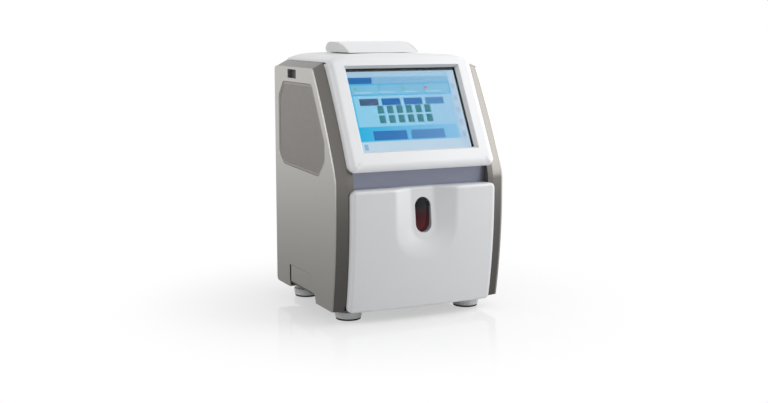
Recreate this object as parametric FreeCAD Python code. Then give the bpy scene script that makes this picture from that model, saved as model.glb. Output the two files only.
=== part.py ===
"""Benchtop blood gas analyzer.

Millimetres. +X is the operator's right, +Y points to the back, +Z is up.
The origin is the centre of the footprint, on the table.
"""
import FreeCAD
import Part
import math
import os
from FreeCAD import Placement, Rotation, Vector

os.makedirs("parts", exist_ok=True)

# Whole instrument
overall_width = 320.0
overall_depth = 330.0
overall_height = 470.0
half_width = overall_width / 2
front_y = -overall_depth / 2
rear_y = overall_depth / 2
cut_over = 2.0            # how far every cutting tool runs past a face
diagonal_share = math.sqrt(1 / 2)
seat_gap = 0.3            # gap between pieces that seat on each other
run_gap = 0.08            # radial clearance of a shaft in its bore

# Side outline, seen from the side: how far it lies behind its foremost line at each height
cover_proud = 20.0        # door and bezel stand this far ahead of the side outline
side_y = front_y + cover_proud
rear_cover_proud = 29.5
side_rear_y = rear_y - rear_cover_proud
foot_line_z = 22.0
heel_line_z = 26.5
toe_set = 17.0
shin_z = 105.0
shin_set = 4.8
straight_low_z = 200.0
straight_rise = 36.0
straight_high_z = straight_low_z + straight_rise
knee_mid_rise = 24.0
knee_mid_z = straight_high_z + knee_mid_rise
knee_mid_set = 5.8
knee_rise = 41.0
knee_z = straight_high_z + knee_rise
knee_set = 13.7
brow_rise_share = 0.42    # of the height between the knee and the top
brow_set = 45.8
side_top_drop = 43.0
side_top_z = overall_height - side_top_drop
brow_z = knee_z + (side_top_z - knee_z) * brow_rise_share
top_set = 98.5
corner_round = 8.0
side_depth = side_rear_y - side_y
heel_step_share = 0.3173  # front end of the lifting grip under each side
heel_step_y = side_y + side_depth * heel_step_share
grip_rear_share = 0.2335
grip_rear_y = side_rear_y - side_depth * grip_rear_share

# Side frames and panels
side_skin = 3.0
frame_span = 32.0
band_width = 19.0         # sloped part of the frame's front face
band_rise = 4.5
shoulder_rise = 10.0
frame_wall = 3.0
frame_rim = 26.0
sill_top_z = 37.0
grip_frame_z = 34.0
grip_panel_z = 38.0
grip_lean_share = 0.25
panel_x = half_width - side_skin
band_x = panel_x - band_width
frame_x = half_width - frame_span

# Front door
door_gap = 0.15           # between the door and the frames' sloped bands
door_half = band_x - door_gap
door_low_z = 23.1
door_high_z = 226.6
door_crown = 5.0          # bulge of the front in plan, edge to middle
door_wall = 3.0
door_edge_round = 8.0
door_corner_round = 8.0
door_blank = 82.0         # depth of the blanks that the door is cut from
door_steps = 4            # lofted steps between the plan outlines
door_rim_set = 5.5        # back edge of the door's rim, ahead of the side outline
flange_gap = 1.0
flange_x = frame_x - flange_gap
door_depth = 16.5         # back of the door's flanges, behind the side outline
door_back_y = side_y + door_depth
door_flange_low_z = 31.0
liner_wall = 2.5
scoop_half = 58.0
scoop_floor_half = 23.0
scoop_low_z = 104.0
scoop_depth = 22.0
scoop_low_depth = 10.5
scoop_floor_low_z = 139.0
scoop_reach_share = 0.3   # how far the scoop's cutting tool runs on past the door's face
port_z = 181.0
port_half_width = 14.6
port_half_height = 29.6
flap_gap = 0.5
flap_depth = 6.0
flap_bulge_tall = 110.0   # radius of the flap's face, seen from the side
flap_bulge_wide = 21.0    # radius of the flap's face, seen from above
flap_pin_r = 0.7
flap_pin_drop = 6.0
flap_pin_set = 1.3
flap_boss_r = 2.3
flap_boss_bite = 1.5
port_ring_wall = 2.6

# Door hinge
hinge_depth = 14.0
hinge_y = side_y + hinge_depth
hinge_z = 27.0
hinge_set = 45.85         # hinge brackets, in from the door's edge
hinge_x = door_half - hinge_set
hinge_pin_r = 2.0
knuckle_r = 4.2
knuckle_half = 5.7
ear_r = 4.4
ear_wall = 3.0
hinge_pocket_r = 6.5
bracket_plate_set = 27.0
bracket_plate_y = side_y + bracket_plate_set
bracket_plate_depth = 11.0
bracket_plate_wall = 2.5

# Upper cover: bezel and crowned top in one moulding
bezel_gap = 1.4
bezel_half = band_x - bezel_gap
recess_height = 32.1      # between the door and the bezel
bezel_low_z = door_high_z + recess_height
bezel_tilt_share = 0.549  # run back per rise of the bezel's face
cover_wall = 3.0
printer_rise = 19.0       # printer cover, above the crown's middle
crown_top_z = overall_height - printer_rise
crown_edge_drop = 12.2
crown_edge_z = crown_top_z - crown_edge_drop
crown_flat_set = 41.6     # where the crown's turns begin, in from its edge
crown_flat_half = bezel_half - crown_flat_set
crown_flat_drop = 2.2
crown_flat_z = crown_top_z - crown_flat_drop
crown_turn_set = 16.6
crown_turn_half = bezel_half - crown_turn_set
crown_turn_drop = 6.4
crown_turn_z = crown_top_z - crown_turn_drop
bezel_corner_round = 14.0
bezel_edge_round = 10.0
cover_skirt_drop = 23.0
cover_skirt_z = crown_top_z - cover_skirt_drop
frame_clear = 0.6

# Display
screen_border = 32.9      # bezel beside the glass
screen_half = bezel_half - screen_border
screen_low = 42.9         # along the bezel's slope, from its foot line
bezel_run = (crown_edge_z - bezel_low_z) * math.sqrt(1 + bezel_tilt_share ** 2)
screen_top_set = 10.16
screen_high = bezel_run - screen_top_set
bevel_side = 5.2
glass_set = 7.4           # glass face, below the bezel's face
glass_wall = 3.0
glass_margin = 7.0
well_wall = 4.0
lcd_depth = 10.0
lcd_margin = 9.0
bracket_wall = 2.0
bracket_lip = 12.0
bracket_low_set = 16.9
bracket_low = screen_low - bracket_low_set
bracket_high_set = 12.7
bracket_high = screen_high + bracket_high_set

# Recess between bezel and door
fascia_set = 10.0
fascia_y = side_y + fascia_set
fascia_wall = 2.5
fascia_gap = 1.0
fascia_low_z = door_high_z + fascia_gap
fascia_overlap = 5.3
fascia_high_z = bezel_low_z + fascia_overlap
rail_depth = 26.0
rail_wall = 2.0
rail_drop = 8.0
rail_high_z = fascia_high_z - rail_drop

# Base tray
tray_low_z = 28.0
sheet = 2.0
tray_front_set = 27.0
tray_front_y = side_y + tray_front_set
tray_rear_set = 7.5
tray_rear_y = side_rear_y - tray_rear_set
tray_lip = 18.0

# Feet
foot_set = 12.9           # foot axis, in from the frame's inner face
foot_x = frame_x - foot_set
foot_front_set = 50.0
foot_front_y = side_y + foot_front_set
foot_rear_set = 36.5
foot_rear_y = side_rear_y - foot_rear_set
foot_r = 23.5
foot_disc_z = 15.0
foot_neck_r = 11.5
foot_taper = 2.0
pad_r = 21.5
pad_height = 3.0

# Reagent bay
bay_half = frame_x - sheet - seat_gap
bay_front_set = 23.0
bay_front_y = side_y + bay_front_set
bay_depth = 100.0
bay_rear_y = bay_front_y + bay_depth
bay_drop = 5.6
bay_high_z = door_high_z - bay_drop
bay_wall = 2.5
shelf_z = 164.0
shelf_wall = 4.0
pack_round = 6.0
pack_gap = 3.2
bay_inner = bay_half - bay_wall
fluid_left_x = -bay_inner + pack_gap
fluid_right_x = -12.0
fluid_high_z = 158.0
pack_front_set = 10.0
pack_front_y = bay_front_y + pack_front_set
qc_left_x = 62.0
qc_right_x = bay_inner - pack_gap
qc_high_z = 142.0
grip_depth = 12.0
grip_height = 22.0
grip_margin = 18.0
grip_width_share = 0.4    # of the pack's width
cartridge_left_x = 52.0
cartridge_set = 11.2      # cartridge, in from the bay's wall
cartridge_right_x = bay_inner - cartridge_set
cartridge_drop = 9.0
cartridge_high_z = bay_high_z - cartridge_drop
block_half = 42.0
block_front_set = 22.0
block_front_y = bay_front_y + block_front_set
block_drop = 7.0
block_high_z = bay_high_z - block_drop
block_grooves = 6
inlet_tip_set = 1.5       # tip of the sample inlet, behind the door's back
inlet_tip_y = door_back_y + inlet_tip_set
inlet_base_r = 12.0
inlet_tip_r = 3.0
inlet_bore_r = 1.2
inlet_flange = 4.0
magnet_set = 22.0         # catch magnets, in from the frame
magnet_x = frame_x - magnet_set
magnet_half = 8.0
magnet_height = 10.0
magnet_depth = 14.0

# Peristaltic pumps
pump_x = 25.0
pump_low_z = 66.0
pump_pitch = 52.0
pump_half = 23.0
pump_front_set = 60.0
pump_front_y = bay_front_y + pump_front_set
pump_race_r = 18.0
pump_race_depth = 16.0
rotor_r = 15.5
rotor_lobe_r = 4.5
rotor_lobes = 3
rotor_gap = 0.6
rotor_shaft_r = 3.0
rotor_shaft_length = 16.0
motor_r = 18.0
motor_length = 30.0
valve_half = 26.0
valve_low_z = 145.0
valve_high_z = 161.0
valve_depth = 24.0
solenoid_r = 5.0
solenoid_length = 14.0
solenoid_count = 4

# Electronics and rear
rear_wall_set = 7.5
rear_wall_y = side_rear_y - rear_wall_set
rear_cover_drop = 6.0
rear_cover_high_z = side_top_z - rear_cover_drop
rear_wall_drop = 3.0
rear_wall_high_z = side_top_z - rear_wall_drop
board_set = 38.0          # main board, in from the frame
board_half = frame_x - board_set
board_low_z = 120.0
board_height = 170.0
board_high_z = board_low_z + board_height
board_wall = 1.6
board_gap = 6.0
board_post_r = 3.0
chip_count = 4
chip_width = 21.0
chip_pitch = 36.0
chip_depth = 3.0
chip_rise = 30.0          # above the board's lower edge
supply_left_x = 20.0
supply_set = 10.0
supply_right_x = frame_x - supply_set
supply_front_share = 0.4133    # of the way from the bay to the rear wall
supply_front_y = bay_rear_y + (rear_wall_y - bay_rear_y) * supply_front_share
supply_high_z = 92.0
supply_slots = 7
supply_slot_width = 6.0
supply_margin = 12.0
fan_set = 66.0            # fan axis, in from the left frame
fan_x = -frame_x + fan_set
fan_drop = 76.0
fan_z = rear_cover_high_z - fan_drop
fan_half = 40.0
fan_depth = 25.0
fan_bore_r = 37.0
fan_hub_r = 15.0
fan_tip_r = 35.0
fan_blades = 7
fan_blade_wall = 1.6
fan_blade_twist = 35.0
fan_shaft_r = 2.0
fan_strut = 4.0
fan_struts = 4
fan_shaft_reach = 5.0      # of the shaft, beyond the hub
fan_blade_share = 0.9     # of the hub's depth
rear_cover_set = 23.0     # rear cover, in from the side panels
rear_cover_half = panel_x - rear_cover_set
rear_cover_low_z = 40.0
rear_cover_wall = 3.0
rear_cover_round = 10.0
rear_slot_width = 70.0
rear_slot_height = 4.0
rear_slot_pitch = 9.0
rear_slots = 8
post_set = 16.0
post_x = rear_cover_half - post_set
post_low_z = 62.0
post_drop = 21.0
post_high_z = rear_cover_high_z - post_drop
post_r = 5.0
screw_head_r = 3.0
screw_head = 2.0
screw_shank_r = 1.4
screw_hole_r = 1.6
screw_length = 9.0
inlet_set = 34.0          # mains inlet, in from the screw posts
inlet_x = post_x - inlet_set
inlet_z = 78.0
socket_half = 14.0
socket_half_height = 10.5
socket_flange = 4.0
socket_depth = 22.0
socket_wall = 2.0
pin_half = 1.0
pin_rise = 2.4
pin_length = 14.0
pin_step = 7.0
rocker_set = 40.0
rocker_x = inlet_x - rocker_set
rocker_half = 7.0
rocker_half_height = 10.5
rocker_r = 40.0
rocker_shaft_r = 1.2
rocker_depth = 9.0
rocker_key = 5.4
rocker_frame = 3.0
data_set = 14.0
data_left_x = -post_x + data_set
data_z = 78.0
data_half_height = 9.0
usb_half = 6.6
usb_half_height = 2.8
net_half = 7.6
net_half_height = 6.2
data_step = 26.0
data_depth = 16.0
data_margin = 6.0
data_ports = 3

# Vent field of the side panels, as distances from the side panel's rear edge and from its top
vent_grille_wall = 2.0
vent_grille_gap = 0.3
vent_grille_set = 0.8
vent_corner_round = 14.0
vent_rear_set = 19.5
vent_rear_y = side_rear_y - vent_rear_set
vent_front_set = 43.0
vent_front_y = side_y + vent_front_set
vent_top_front_set = 99.0
vent_top_front_y = side_y + vent_top_front_set
vent_rear_chamfer = 24.0
vent_top_rear_y = vent_rear_y - vent_rear_chamfer
vent_top_drop = 26.5
vent_top_z = side_top_z - vent_top_drop
vent_height = 151.5
vent_low_z = vent_top_z - vent_height
vent_rear_low_rise = 19.0
vent_rear_low_z = vent_low_z + vent_rear_low_rise
vent_low_rear_y = vent_top_rear_y
vent_front_low_drop = 3.0
vent_front_low_z = vent_low_z - vent_front_low_drop
vent_front_rise = 60.0
vent_front_high_z = vent_front_low_z + vent_front_rise
vent_slot_width = 26.0
vent_slot_height = 3.2
vent_slot_step = 32.0
vent_slot_pitch = 9.0
vent_margin = 8.0

# Panel release slider
latch_rear_set = 66.5
latch_rear_y = side_rear_y - latch_rear_set
latch_length = 41.0
latch_front_y = latch_rear_y - latch_length
latch_drop = 4.6
latch_high_z = side_top_z - latch_drop
latch_height = 15.0
latch_low_z = latch_high_z - latch_height
latch_travel = 16.0
latch_wall = 2.0
latch_ridges = 5
ridge_width = 1.6
ridge_rise = 1.0
ridge_margin = 1.2
pocket_wall = 1.5
pocket_depth = 8.0

# Side drawer
drawer_front_set = 18.0
drawer_front_y = heel_step_y + drawer_front_set
drawer_rear_set = 8.0
drawer_rear_y = grip_rear_y - drawer_rear_set
drawer_top_z = 68.0
drawer_gap = 0.5
drawer_tray_inset = 18.5
drawer_rear_inset = 3.5
drawer_tray_top_z = 62.0
drawer_reach = 85.0       # tray, in from the side panel
drawer_inner_x = -panel_x + drawer_reach
drawer_wall = 2.0
guide_wall = 2.0
guide_rise = 8.0
guide_reach = 4.0
guide_set = 1.0

# Printer
printer_half = 69.5
printer_cap = 3.0
printer_rear_set = 26.5
printer_rear_y = side_rear_y - printer_rear_set
printer_length = 106.0
printer_front_y = printer_rear_y - printer_length
printer_foot_gap = 0.6
printer_foot_z = crown_top_z + printer_foot_gap
printer_wall = 2.5
printer_brow_set = 26.0
printer_brow_y = printer_front_y + printer_brow_set
printer_brow_drop = 6.7
printer_brow_share = 0.4  # of the wall, by which the inner brow lies back
printer_brow_z = overall_height - printer_brow_drop
printer_peak_set = 68.0
printer_peak_y = printer_front_y + printer_peak_set
printer_back_set = 21.0
printer_back_y = printer_rear_y - printer_back_set
printer_shoulder_out = 3.0
printer_shoulder_up = 2.1
printer_heel_drop = 11.0
printer_heel_z = overall_height - printer_heel_drop
printer_rear_foot_gap = 4.5
printer_rear_foot_z = crown_top_z + printer_rear_foot_gap
tub_half = 62.0
tub_front_set = 11.0
tub_front_y = printer_front_y + tub_front_set
tub_rear_set = 5.0
tub_rear_y = printer_rear_y - tub_rear_set
tub_low_drop = 59.0
tub_low_z = crown_top_z - tub_low_drop
tub_wall = 2.5
tub_high_drop = 5.0
tub_high_z = crown_top_z - tub_high_drop
opening_margin = 0.4
cover_hinge_set = 5.5
cover_hinge_y = printer_rear_y - cover_hinge_set
cover_hinge_drop = 12.5
cover_hinge_z = overall_height - cover_hinge_drop
cover_pin_r = 1.4
cover_ear_x = 50.0
cover_ear_wall = 3.0
cover_knuckle_length = 4.5
cover_ear_r = 2.6
ear_root = 10.0            # of each ear's leg, down the tub's wall
web_over = 0.65           # of each knuckle's web, behind the hinge line
paper_half = 56.0
paper_r = 24.0
paper_set = 38.0
paper_y = tub_rear_y - paper_set
paper_gap = 1.0
core_r = 8.5
spindle_r = 6.0
platen_set = 14.0
platen_y = tub_front_y + platen_set
platen_drop = 10.0
platen_z = crown_top_z - platen_drop
platen_r = 6.0
platen_half = 53.0
platen_shaft_r = 2.5
gear_module = 0.8
platen_teeth = 20
pinion_teeth = 12
gear_width = 3.0
gear_backlash = 0.5
pinion_shaft_r = 1.5
tooth_root_share = 0.34
tooth_tip_share = 0.16
tooth_height_share = 1.0
gear_root_share = 1.25
tip_clear_share = 0.25    # of the backlash, taken off the tips
gear_phase = 0.25         # of a tooth
pinion_reach = 10.0       # of the pinion's shaft, into the motor
printer_motor_r = 5.6
printer_motor_length = 30.0
motor_foot = 20.0
motor_foot_half = 3.9
head_gap = 0.3
head_wall = 2.5
head_margin = 1.0

pieces = {}


def box(x0, x1, y0, y1, z0, z1):
    """Block between two corners."""
    return Part.makeBox(x1 - x0, y1 - y0, z1 - z0, Vector(x0, y0, z0))


def rod(start, direction, length, radius):
    """Round bar from a point, along a direction."""
    return Part.makeCylinder(radius, length, Vector(*start), Vector(*direction))


def join(shapes):
    """One solid from several that touch or overlap."""
    first = shapes[0]
    if len(shapes) == 1:
        return first
    return first.fuse(shapes[1:]).removeSplitter()


def mirrored(shape):
    """The same piece on the other side of the instrument."""
    return shape.mirror(Vector(0, 0, 0), Vector(1, 0, 0))


def fillet_where(shape, radius, test):
    """Round the edges that a test picks."""
    edges = [edge for edge in shape.Edges if test(edge)]
    return shape.makeFillet(radius, edges)


def middle(edge):
    """Middle point of an edge."""
    first, last = edge.ParameterRange
    return edge.valueAt((first + last) / 2)


def circle_through(p, q, r):
    """Centre and radius of the circle through three (y, z) points."""
    circle = Part.Arc(Vector(0, *p), Vector(0, *q), Vector(0, *r)).toShape().Curve
    return circle.Center.y, circle.Center.z, circle.Radius


def y_on_circle(circle, z):
    """Front side of a circle at one height."""
    cy, cz, radius = circle
    return cy - math.sqrt(radius ** 2 - (z - cz) ** 2)


shin_circle = circle_through(
    (side_y + toe_set, foot_line_z), (side_y + shin_set, shin_z), (side_y, straight_low_z))
slope_circle = circle_through(
    (side_y + knee_set, knee_z), (side_y + brow_set, brow_z), (side_y + top_set, side_top_z))


def front_at(z):
    """Y of the side outline's front at one height."""
    if z <= straight_low_z:
        return y_on_circle(shin_circle, z)
    if z <= straight_high_z:
        return side_y
    return y_on_circle(slope_circle, z)


def corner(before, at, after, radius):
    """Two ends and the middle of a rounded corner between two straight runs."""
    into = (before - at).normalize()
    out = (after - at).normalize()
    half = into.getAngle(out) / 2
    reach = radius / math.tan(half)
    centre = at + (into + out).normalize() * (radius / math.sin(half))
    return at + into * reach, centre - (into + out).normalize() * radius, at + out * reach


def rounded_wire(points, radii):
    """Closed outline of straight runs with one rounding at each corner."""
    count = len(points)
    runs = []
    bends = []
    for i in range(count):
        before, at, after = points[i - 1], points[i], points[(i + 1) % count]
        bends.append(corner(before, at, after, radii[i]) if radii[i] else (at, at, at))
    for i in range(count):
        start, crest, end = bends[i]
        if radii[i]:
            runs.append(Part.Arc(start, crest, end).toShape())
        following = bends[(i + 1) % count][0]
        if end.distanceToPoint(following) > run_gap:
            runs.append(Part.LineSegment(end, following).toShape())
    return Part.Wire(runs)


def prism(wire, along):
    """Solid from a flat outline."""
    return Part.Face(wire).extrude(along)


def side_wire(x, forward=0.0, lift=0.0, rear=0.0, low_z=None):
    """Outline of the instrument's side in the plane at x.

    forward and rear move the front and rear edges outwards, lift moves the top up.
    """
    foot_z = foot_line_z if low_z is None else low_z
    heel_z = heel_line_z if low_z is None else low_z
    top_z = side_top_z + lift
    back = side_rear_y + rear
    foot_front = Vector(x, y_on_circle(shin_circle, foot_z) - forward, foot_z)
    shin = Vector(x, front_at(shin_z) - forward, shin_z)
    straight_low = Vector(x, side_y - forward, straight_low_z)
    straight_high = Vector(x, side_y - forward, straight_high_z)
    knee_mid = Vector(x, side_y + knee_mid_set - forward, knee_mid_z)
    knee = Vector(x, side_y + knee_set - forward, knee_z)
    brow = Vector(x, side_y + brow_set - forward, brow_z)
    top_front = Vector(x, y_on_circle(slope_circle, top_z) - forward, top_z)
    top_back = Vector(x, back, top_z)
    heel = Vector(x, back, heel_z)
    step_high = Vector(x, heel_step_y, heel_z)
    front_round = corner(brow, top_front, top_back, corner_round)
    back_round = corner(top_front, top_back, heel, corner_round)
    heel_round = corner(top_back, heel, step_high, corner_round)
    edges = [
        Part.Arc(foot_front, shin, straight_low),
        Part.LineSegment(straight_low, straight_high),
        Part.Arc(straight_high, knee_mid, knee),
        Part.Arc(knee, brow, front_round[0]),
        Part.Arc(*front_round),
        Part.LineSegment(front_round[2], back_round[0]),
        Part.Arc(*back_round),
        Part.LineSegment(back_round[2], heel_round[0]),
        Part.Arc(*heel_round),
    ]
    if low_z is None:
        step_low = Vector(x, heel_step_y, foot_z)
        edges.append(Part.LineSegment(heel_round[2], step_high))
        edges.append(Part.LineSegment(step_high, step_low))
        edges.append(Part.LineSegment(step_low, foot_front))
    else:
        edges.append(Part.LineSegment(heel_round[2], foot_front))
    return Part.Wire([edge.toShape() for edge in edges])


def grip_notch(top_z, x0, x1):
    """Lifting grip under the side, with a rounded front end."""
    rise = top_z - foot_line_z
    points = [
        Vector(x0, heel_step_y, foot_line_z - cut_over),
        Vector(x0, heel_step_y + rise * grip_lean_share, top_z),
        Vector(x0, grip_rear_y, top_z),
        Vector(x0, grip_rear_y, foot_line_z - cut_over),
    ]
    return prism(rounded_wire(points, [0, rise / 2, 0, 0]), Vector(x1 - x0, 0, 0))


def hinge_pocket():
    """Room in the frames for the door's lower edge as it swings."""
    reach = door_half + flange_gap - frame_x + cut_over
    return rod((frame_x - cut_over, hinge_y, hinge_z), (1, 0, 0), reach, hinge_pocket_r)


def side_frame():
    """Right side frame: a hollow rim whose sloped face shows as the dark band."""
    sloped = Part.makeLoft(
        [side_wire(panel_x), side_wire(band_x, band_rise, shoulder_rise)], True, True)
    straight = prism(side_wire(band_x, band_rise, shoulder_rise), Vector(frame_x - band_x, 0, 0))
    solid = join([sloped, straight])
    window = prism(
        side_wire(frame_x - cut_over, -frame_rim, -frame_rim, -frame_rim, sill_top_z),
        Vector(frame_span + cut_over * 2, 0, 0))
    channel_x = frame_x + frame_wall
    far = Vector(panel_x - channel_x + cut_over, 0, 0)
    outer = prism(
        side_wire(channel_x, -frame_wall, -frame_wall, -frame_wall, heel_line_z + frame_wall), far)
    inner_set = frame_wall - frame_rim
    inner = prism(
        side_wire(channel_x, inner_set, inner_set, inner_set, sill_top_z - frame_wall), far)
    solid = solid.cut(window).cut(outer.cut(inner))
    solid = solid.cut(grip_notch(grip_frame_z, frame_x - cut_over, panel_x + cut_over))
    return solid.cut(hinge_pocket()).removeSplitter()


def vent_points(x):
    """Corners of the vent field in the side panel."""
    return [
        Vector(x, vent_top_front_y, vent_top_z),
        Vector(x, vent_top_rear_y, vent_top_z),
        Vector(x, vent_rear_y, vent_top_z - vent_corner_round * 2),
        Vector(x, vent_rear_y, vent_rear_low_z),
        Vector(x, vent_low_rear_y, vent_low_z + vent_grille_wall),
        Vector(x, vent_front_y + vent_corner_round * 2, vent_front_low_z),
        Vector(x, vent_front_y, vent_front_low_z + vent_corner_round * 2),
        Vector(x, vent_front_y, vent_front_high_z),
    ]


def vent_prism(x, wall, inset):
    """Solid with the outline of the vent field."""
    points = vent_points(x)
    field = Part.Face(rounded_wire(points, [vent_corner_round] * len(points)))
    if inset:
        field = Part.Face(field.OuterWire.makeOffset2D(-inset))
    return field.extrude(Vector(wall, 0, 0))


def side_panel():
    """Right side panel."""
    panel = prism(side_wire(panel_x), Vector(side_skin, 0, 0))
    panel = panel.cut(grip_notch(grip_panel_z, panel_x - cut_over, half_width + cut_over))
    return panel.cut(vent_prism(panel_x - cut_over, side_skin + cut_over * 2, 0))


def left_panel():
    """Left side panel, cut for the drawer and the slider."""
    panel = mirrored(side_panel())
    x0 = -half_width - cut_over
    x1 = -panel_x + cut_over
    panel = panel.cut(box(x0, x1, drawer_front_y, grip_rear_y,
                          grip_panel_z - cut_over, drawer_top_z))
    return panel.cut(box(x0, x1, latch_front_y, latch_rear_y, latch_low_z, latch_high_z))


def vent_grille():
    """Right vent grille: a plate with rows of slots, flush in the panel's opening."""
    x = half_width - vent_grille_set - vent_grille_wall
    plate = vent_prism(x, vent_grille_wall, vent_grille_gap)
    inner = vent_prism(x - cut_over, vent_grille_wall + cut_over * 2, vent_margin)
    rows = int((vent_top_z - vent_low_z) / vent_slot_pitch)
    columns = int((vent_rear_y - vent_front_y) / vent_slot_step)
    slots = []
    for row in range(rows):
        z = vent_front_low_z + vent_slot_pitch * (row + 1)
        for column in range(columns + 1):
            y = vent_front_y + vent_slot_step * column
            slots.append(box(x - cut_over, x + vent_grille_wall + cut_over,
                             y, y + vent_slot_width, z, z + vent_slot_height))
    return plate.cut(Part.makeCompound(slots).common(inner))


def crown_wire(inset, y, low_z):
    """Front view of the upper cover: straight sides, softly crowned top."""
    half = bezel_half - inset
    top = crown_top_z - inset
    flat = Vector(crown_flat_half, y, crown_flat_z - inset)
    turn = Vector(crown_turn_half - inset / 2, y, crown_turn_z - inset)
    edge = Vector(half, y, crown_edge_z - inset)
    def other(v):
        return Vector(-v.x, v.y, v.z)

    low_right = Vector(half, y, low_z)
    low_left = other(low_right)
    radius = bezel_corner_round - inset
    right_round = corner(edge, low_right, low_left, radius)
    left_round = corner(low_right, low_left, other(edge), radius)
    edges = [
        Part.Arc(other(flat), Vector(0, y, top), flat),
        Part.Arc(flat, turn, edge),
        Part.LineSegment(edge, right_round[0]),
        Part.Arc(*right_round),
        Part.LineSegment(right_round[2], left_round[0]),
        Part.Arc(*left_round),
        Part.LineSegment(left_round[2], other(edge)),
        Part.Arc(other(edge), other(turn), other(flat)),
    ]
    return Part.Wire([e.toShape() for e in edges])


def slab_behind_bezel(inset):
    """Everything behind the bezel's sloped face."""
    rise = overall_height - bezel_low_z + cut_over
    along = Vector(0, rise * bezel_tilt_share, rise)
    z = bezel_low_z - cut_over
    front = front_y - cut_over * bezel_tilt_share + inset * math.hypot(1, bezel_tilt_share)
    back = front + overall_depth * 2
    wire = Part.makePolygon([
        Vector(-half_width, front, z), Vector(half_width, front, z),
        Vector(half_width, back, z), Vector(-half_width, back, z),
        Vector(-half_width, front, z)])
    return prism(wire, along)


def cover_bulk(inset):
    """Solid shape of the upper cover, rounded all round its face."""
    length = side_rear_y - front_y - inset
    solid = prism(crown_wire(inset, front_y - cut_over, bezel_low_z + inset),
                  Vector(0, length + cut_over, 0))
    solid = solid.common(slab_behind_bezel(inset))
    radius = bezel_edge_round - inset

    def shoulder(edge):
        p = middle(edge)
        at_side = abs(abs(p.x) - bezel_half + inset) < run_gap
        return at_side and abs(p.z - crown_edge_z + inset) < run_gap

    solid = fillet_where(solid, radius, shoulder)
    faces = [f for f in solid.Faces if abs(f.normalAt(0, 0).y) > abs(f.normalAt(0, 0).z) > run_gap]
    face = max(faces, key=lambda f: f.Area)
    return solid.makeFillet(radius, face.Edges)


def on_bezel(shape):
    """Carry a shape from bezel coordinates to its place.

    In bezel coordinates Z runs up the slope from its foot line, Y points into the instrument
    and 0 is the middle of the bezel's face.
    """
    tilt = math.degrees(math.atan(bezel_tilt_share))
    shape.Placement = Placement(Vector(0, front_y, bezel_low_z), Rotation(Vector(1, 0, 0), -tilt))
    return shape


def screen_window():
    """Tapered window in the bezel, down to the glass."""
    def ring(depth, margin):
        half = screen_half + margin
        low = screen_low - margin
        high = screen_high + margin
        return Part.makePolygon([
            Vector(-half, depth, low), Vector(half, depth, low),
            Vector(half, depth, high), Vector(-half, depth, high), Vector(-half, depth, low)])
    grow_share = bevel_side / glass_set
    front = ring(-cut_over, bevel_side + cut_over * grow_share)
    back = ring(glass_set + cut_over, -cut_over * grow_share)
    return on_bezel(Part.makeLoft([front, back], True, True))


def upper_cover():
    """Bezel and crowned top in one thin moulding, with window, skirt and printer opening."""
    skin = cover_bulk(0).cut(cover_bulk(cover_wall))
    well_low = screen_low - bevel_side - well_wall
    well_high = screen_high + bevel_side + well_wall
    well_half = screen_half + bevel_side + well_wall
    well = on_bezel(box(-well_half, well_half, cover_wall / 2, glass_set, well_low, well_high))
    skin = skin.fuse(well).cut(screen_window())
    keep_out = side_wire(frame_x - seat_gap, band_rise + frame_clear, shoulder_rise + seat_gap,
                         cut_over * 2, foot_line_z)
    block = prism(keep_out, Vector(half_width - frame_x + seat_gap, 0, 0))
    skin = skin.cut(block).cut(mirrored(block))
    skin = skin.cut(box(-half_width, half_width, 0, rear_y, 0, cover_skirt_z))
    skin = skin.cut(box(-half_width, half_width, fascia_y - seat_gap, 0, 0,
                        bezel_low_z + cover_wall * 2))
    opening = tub_half + opening_margin
    skin = skin.cut(box(-opening, opening, tub_front_y - opening_margin,
                        printer_rear_y + opening_margin, tub_high_z - cut_over, overall_height))
    return skin.removeSplitter()


def touch_glass():
    """Touch glass behind the window."""
    half = screen_half + glass_margin
    plate = box(-half, half, glass_set, glass_set + glass_wall,
                screen_low - glass_margin, screen_high + glass_margin)
    return on_bezel(plate)


def lcd_panel():
    """Display module behind the glass, with its rear rim."""
    half = screen_half + lcd_margin
    y = glass_set + glass_wall
    low = screen_low - lcd_margin
    high = screen_high + lcd_margin
    body = box(-half, half, y, y + lcd_depth, low, high)
    recess = box(-half + lcd_margin, half - lcd_margin, y + lcd_depth / 2, y + lcd_depth + cut_over,
                 low + lcd_margin, high - lcd_margin)
    return on_bezel(body.cut(recess))


def display_bracket():
    """Sheet bracket between the side frames that carries the display."""
    y = glass_set + glass_wall + lcd_depth
    span = frame_x - seat_gap
    plate = box(-span, span, y, y + bracket_wall, bracket_low, bracket_high)
    lip = box(-span, span, y, y + bracket_lip, bracket_low, bracket_low + bracket_wall)
    top_lip = box(-span, span, y, y + bracket_lip, bracket_high - bracket_wall, bracket_high)
    side = box(span - bracket_wall, span, y, y + bracket_lip, bracket_low, bracket_high)
    return on_bezel(join([plate, lip, top_lip, side, mirrored(side)]))


def header_rail():
    """Channel between the side frames, over the reagent bay."""
    back = fascia_y + fascia_wall
    rail = box(-frame_x, frame_x, back, back + rail_depth, fascia_low_z, rail_high_z)
    hollow = box(-frame_x, frame_x, back + rail_wall, back + rail_depth + cut_over,
                 fascia_low_z + rail_wall, rail_high_z - rail_wall)
    return rail.cut(hollow)


def recess_fascia():
    """Metallic strip seen between bezel and door."""
    x = frame_x - seat_gap
    return box(-x, x, fascia_y, fascia_y + fascia_wall, fascia_low_z, fascia_high_z)


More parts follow.
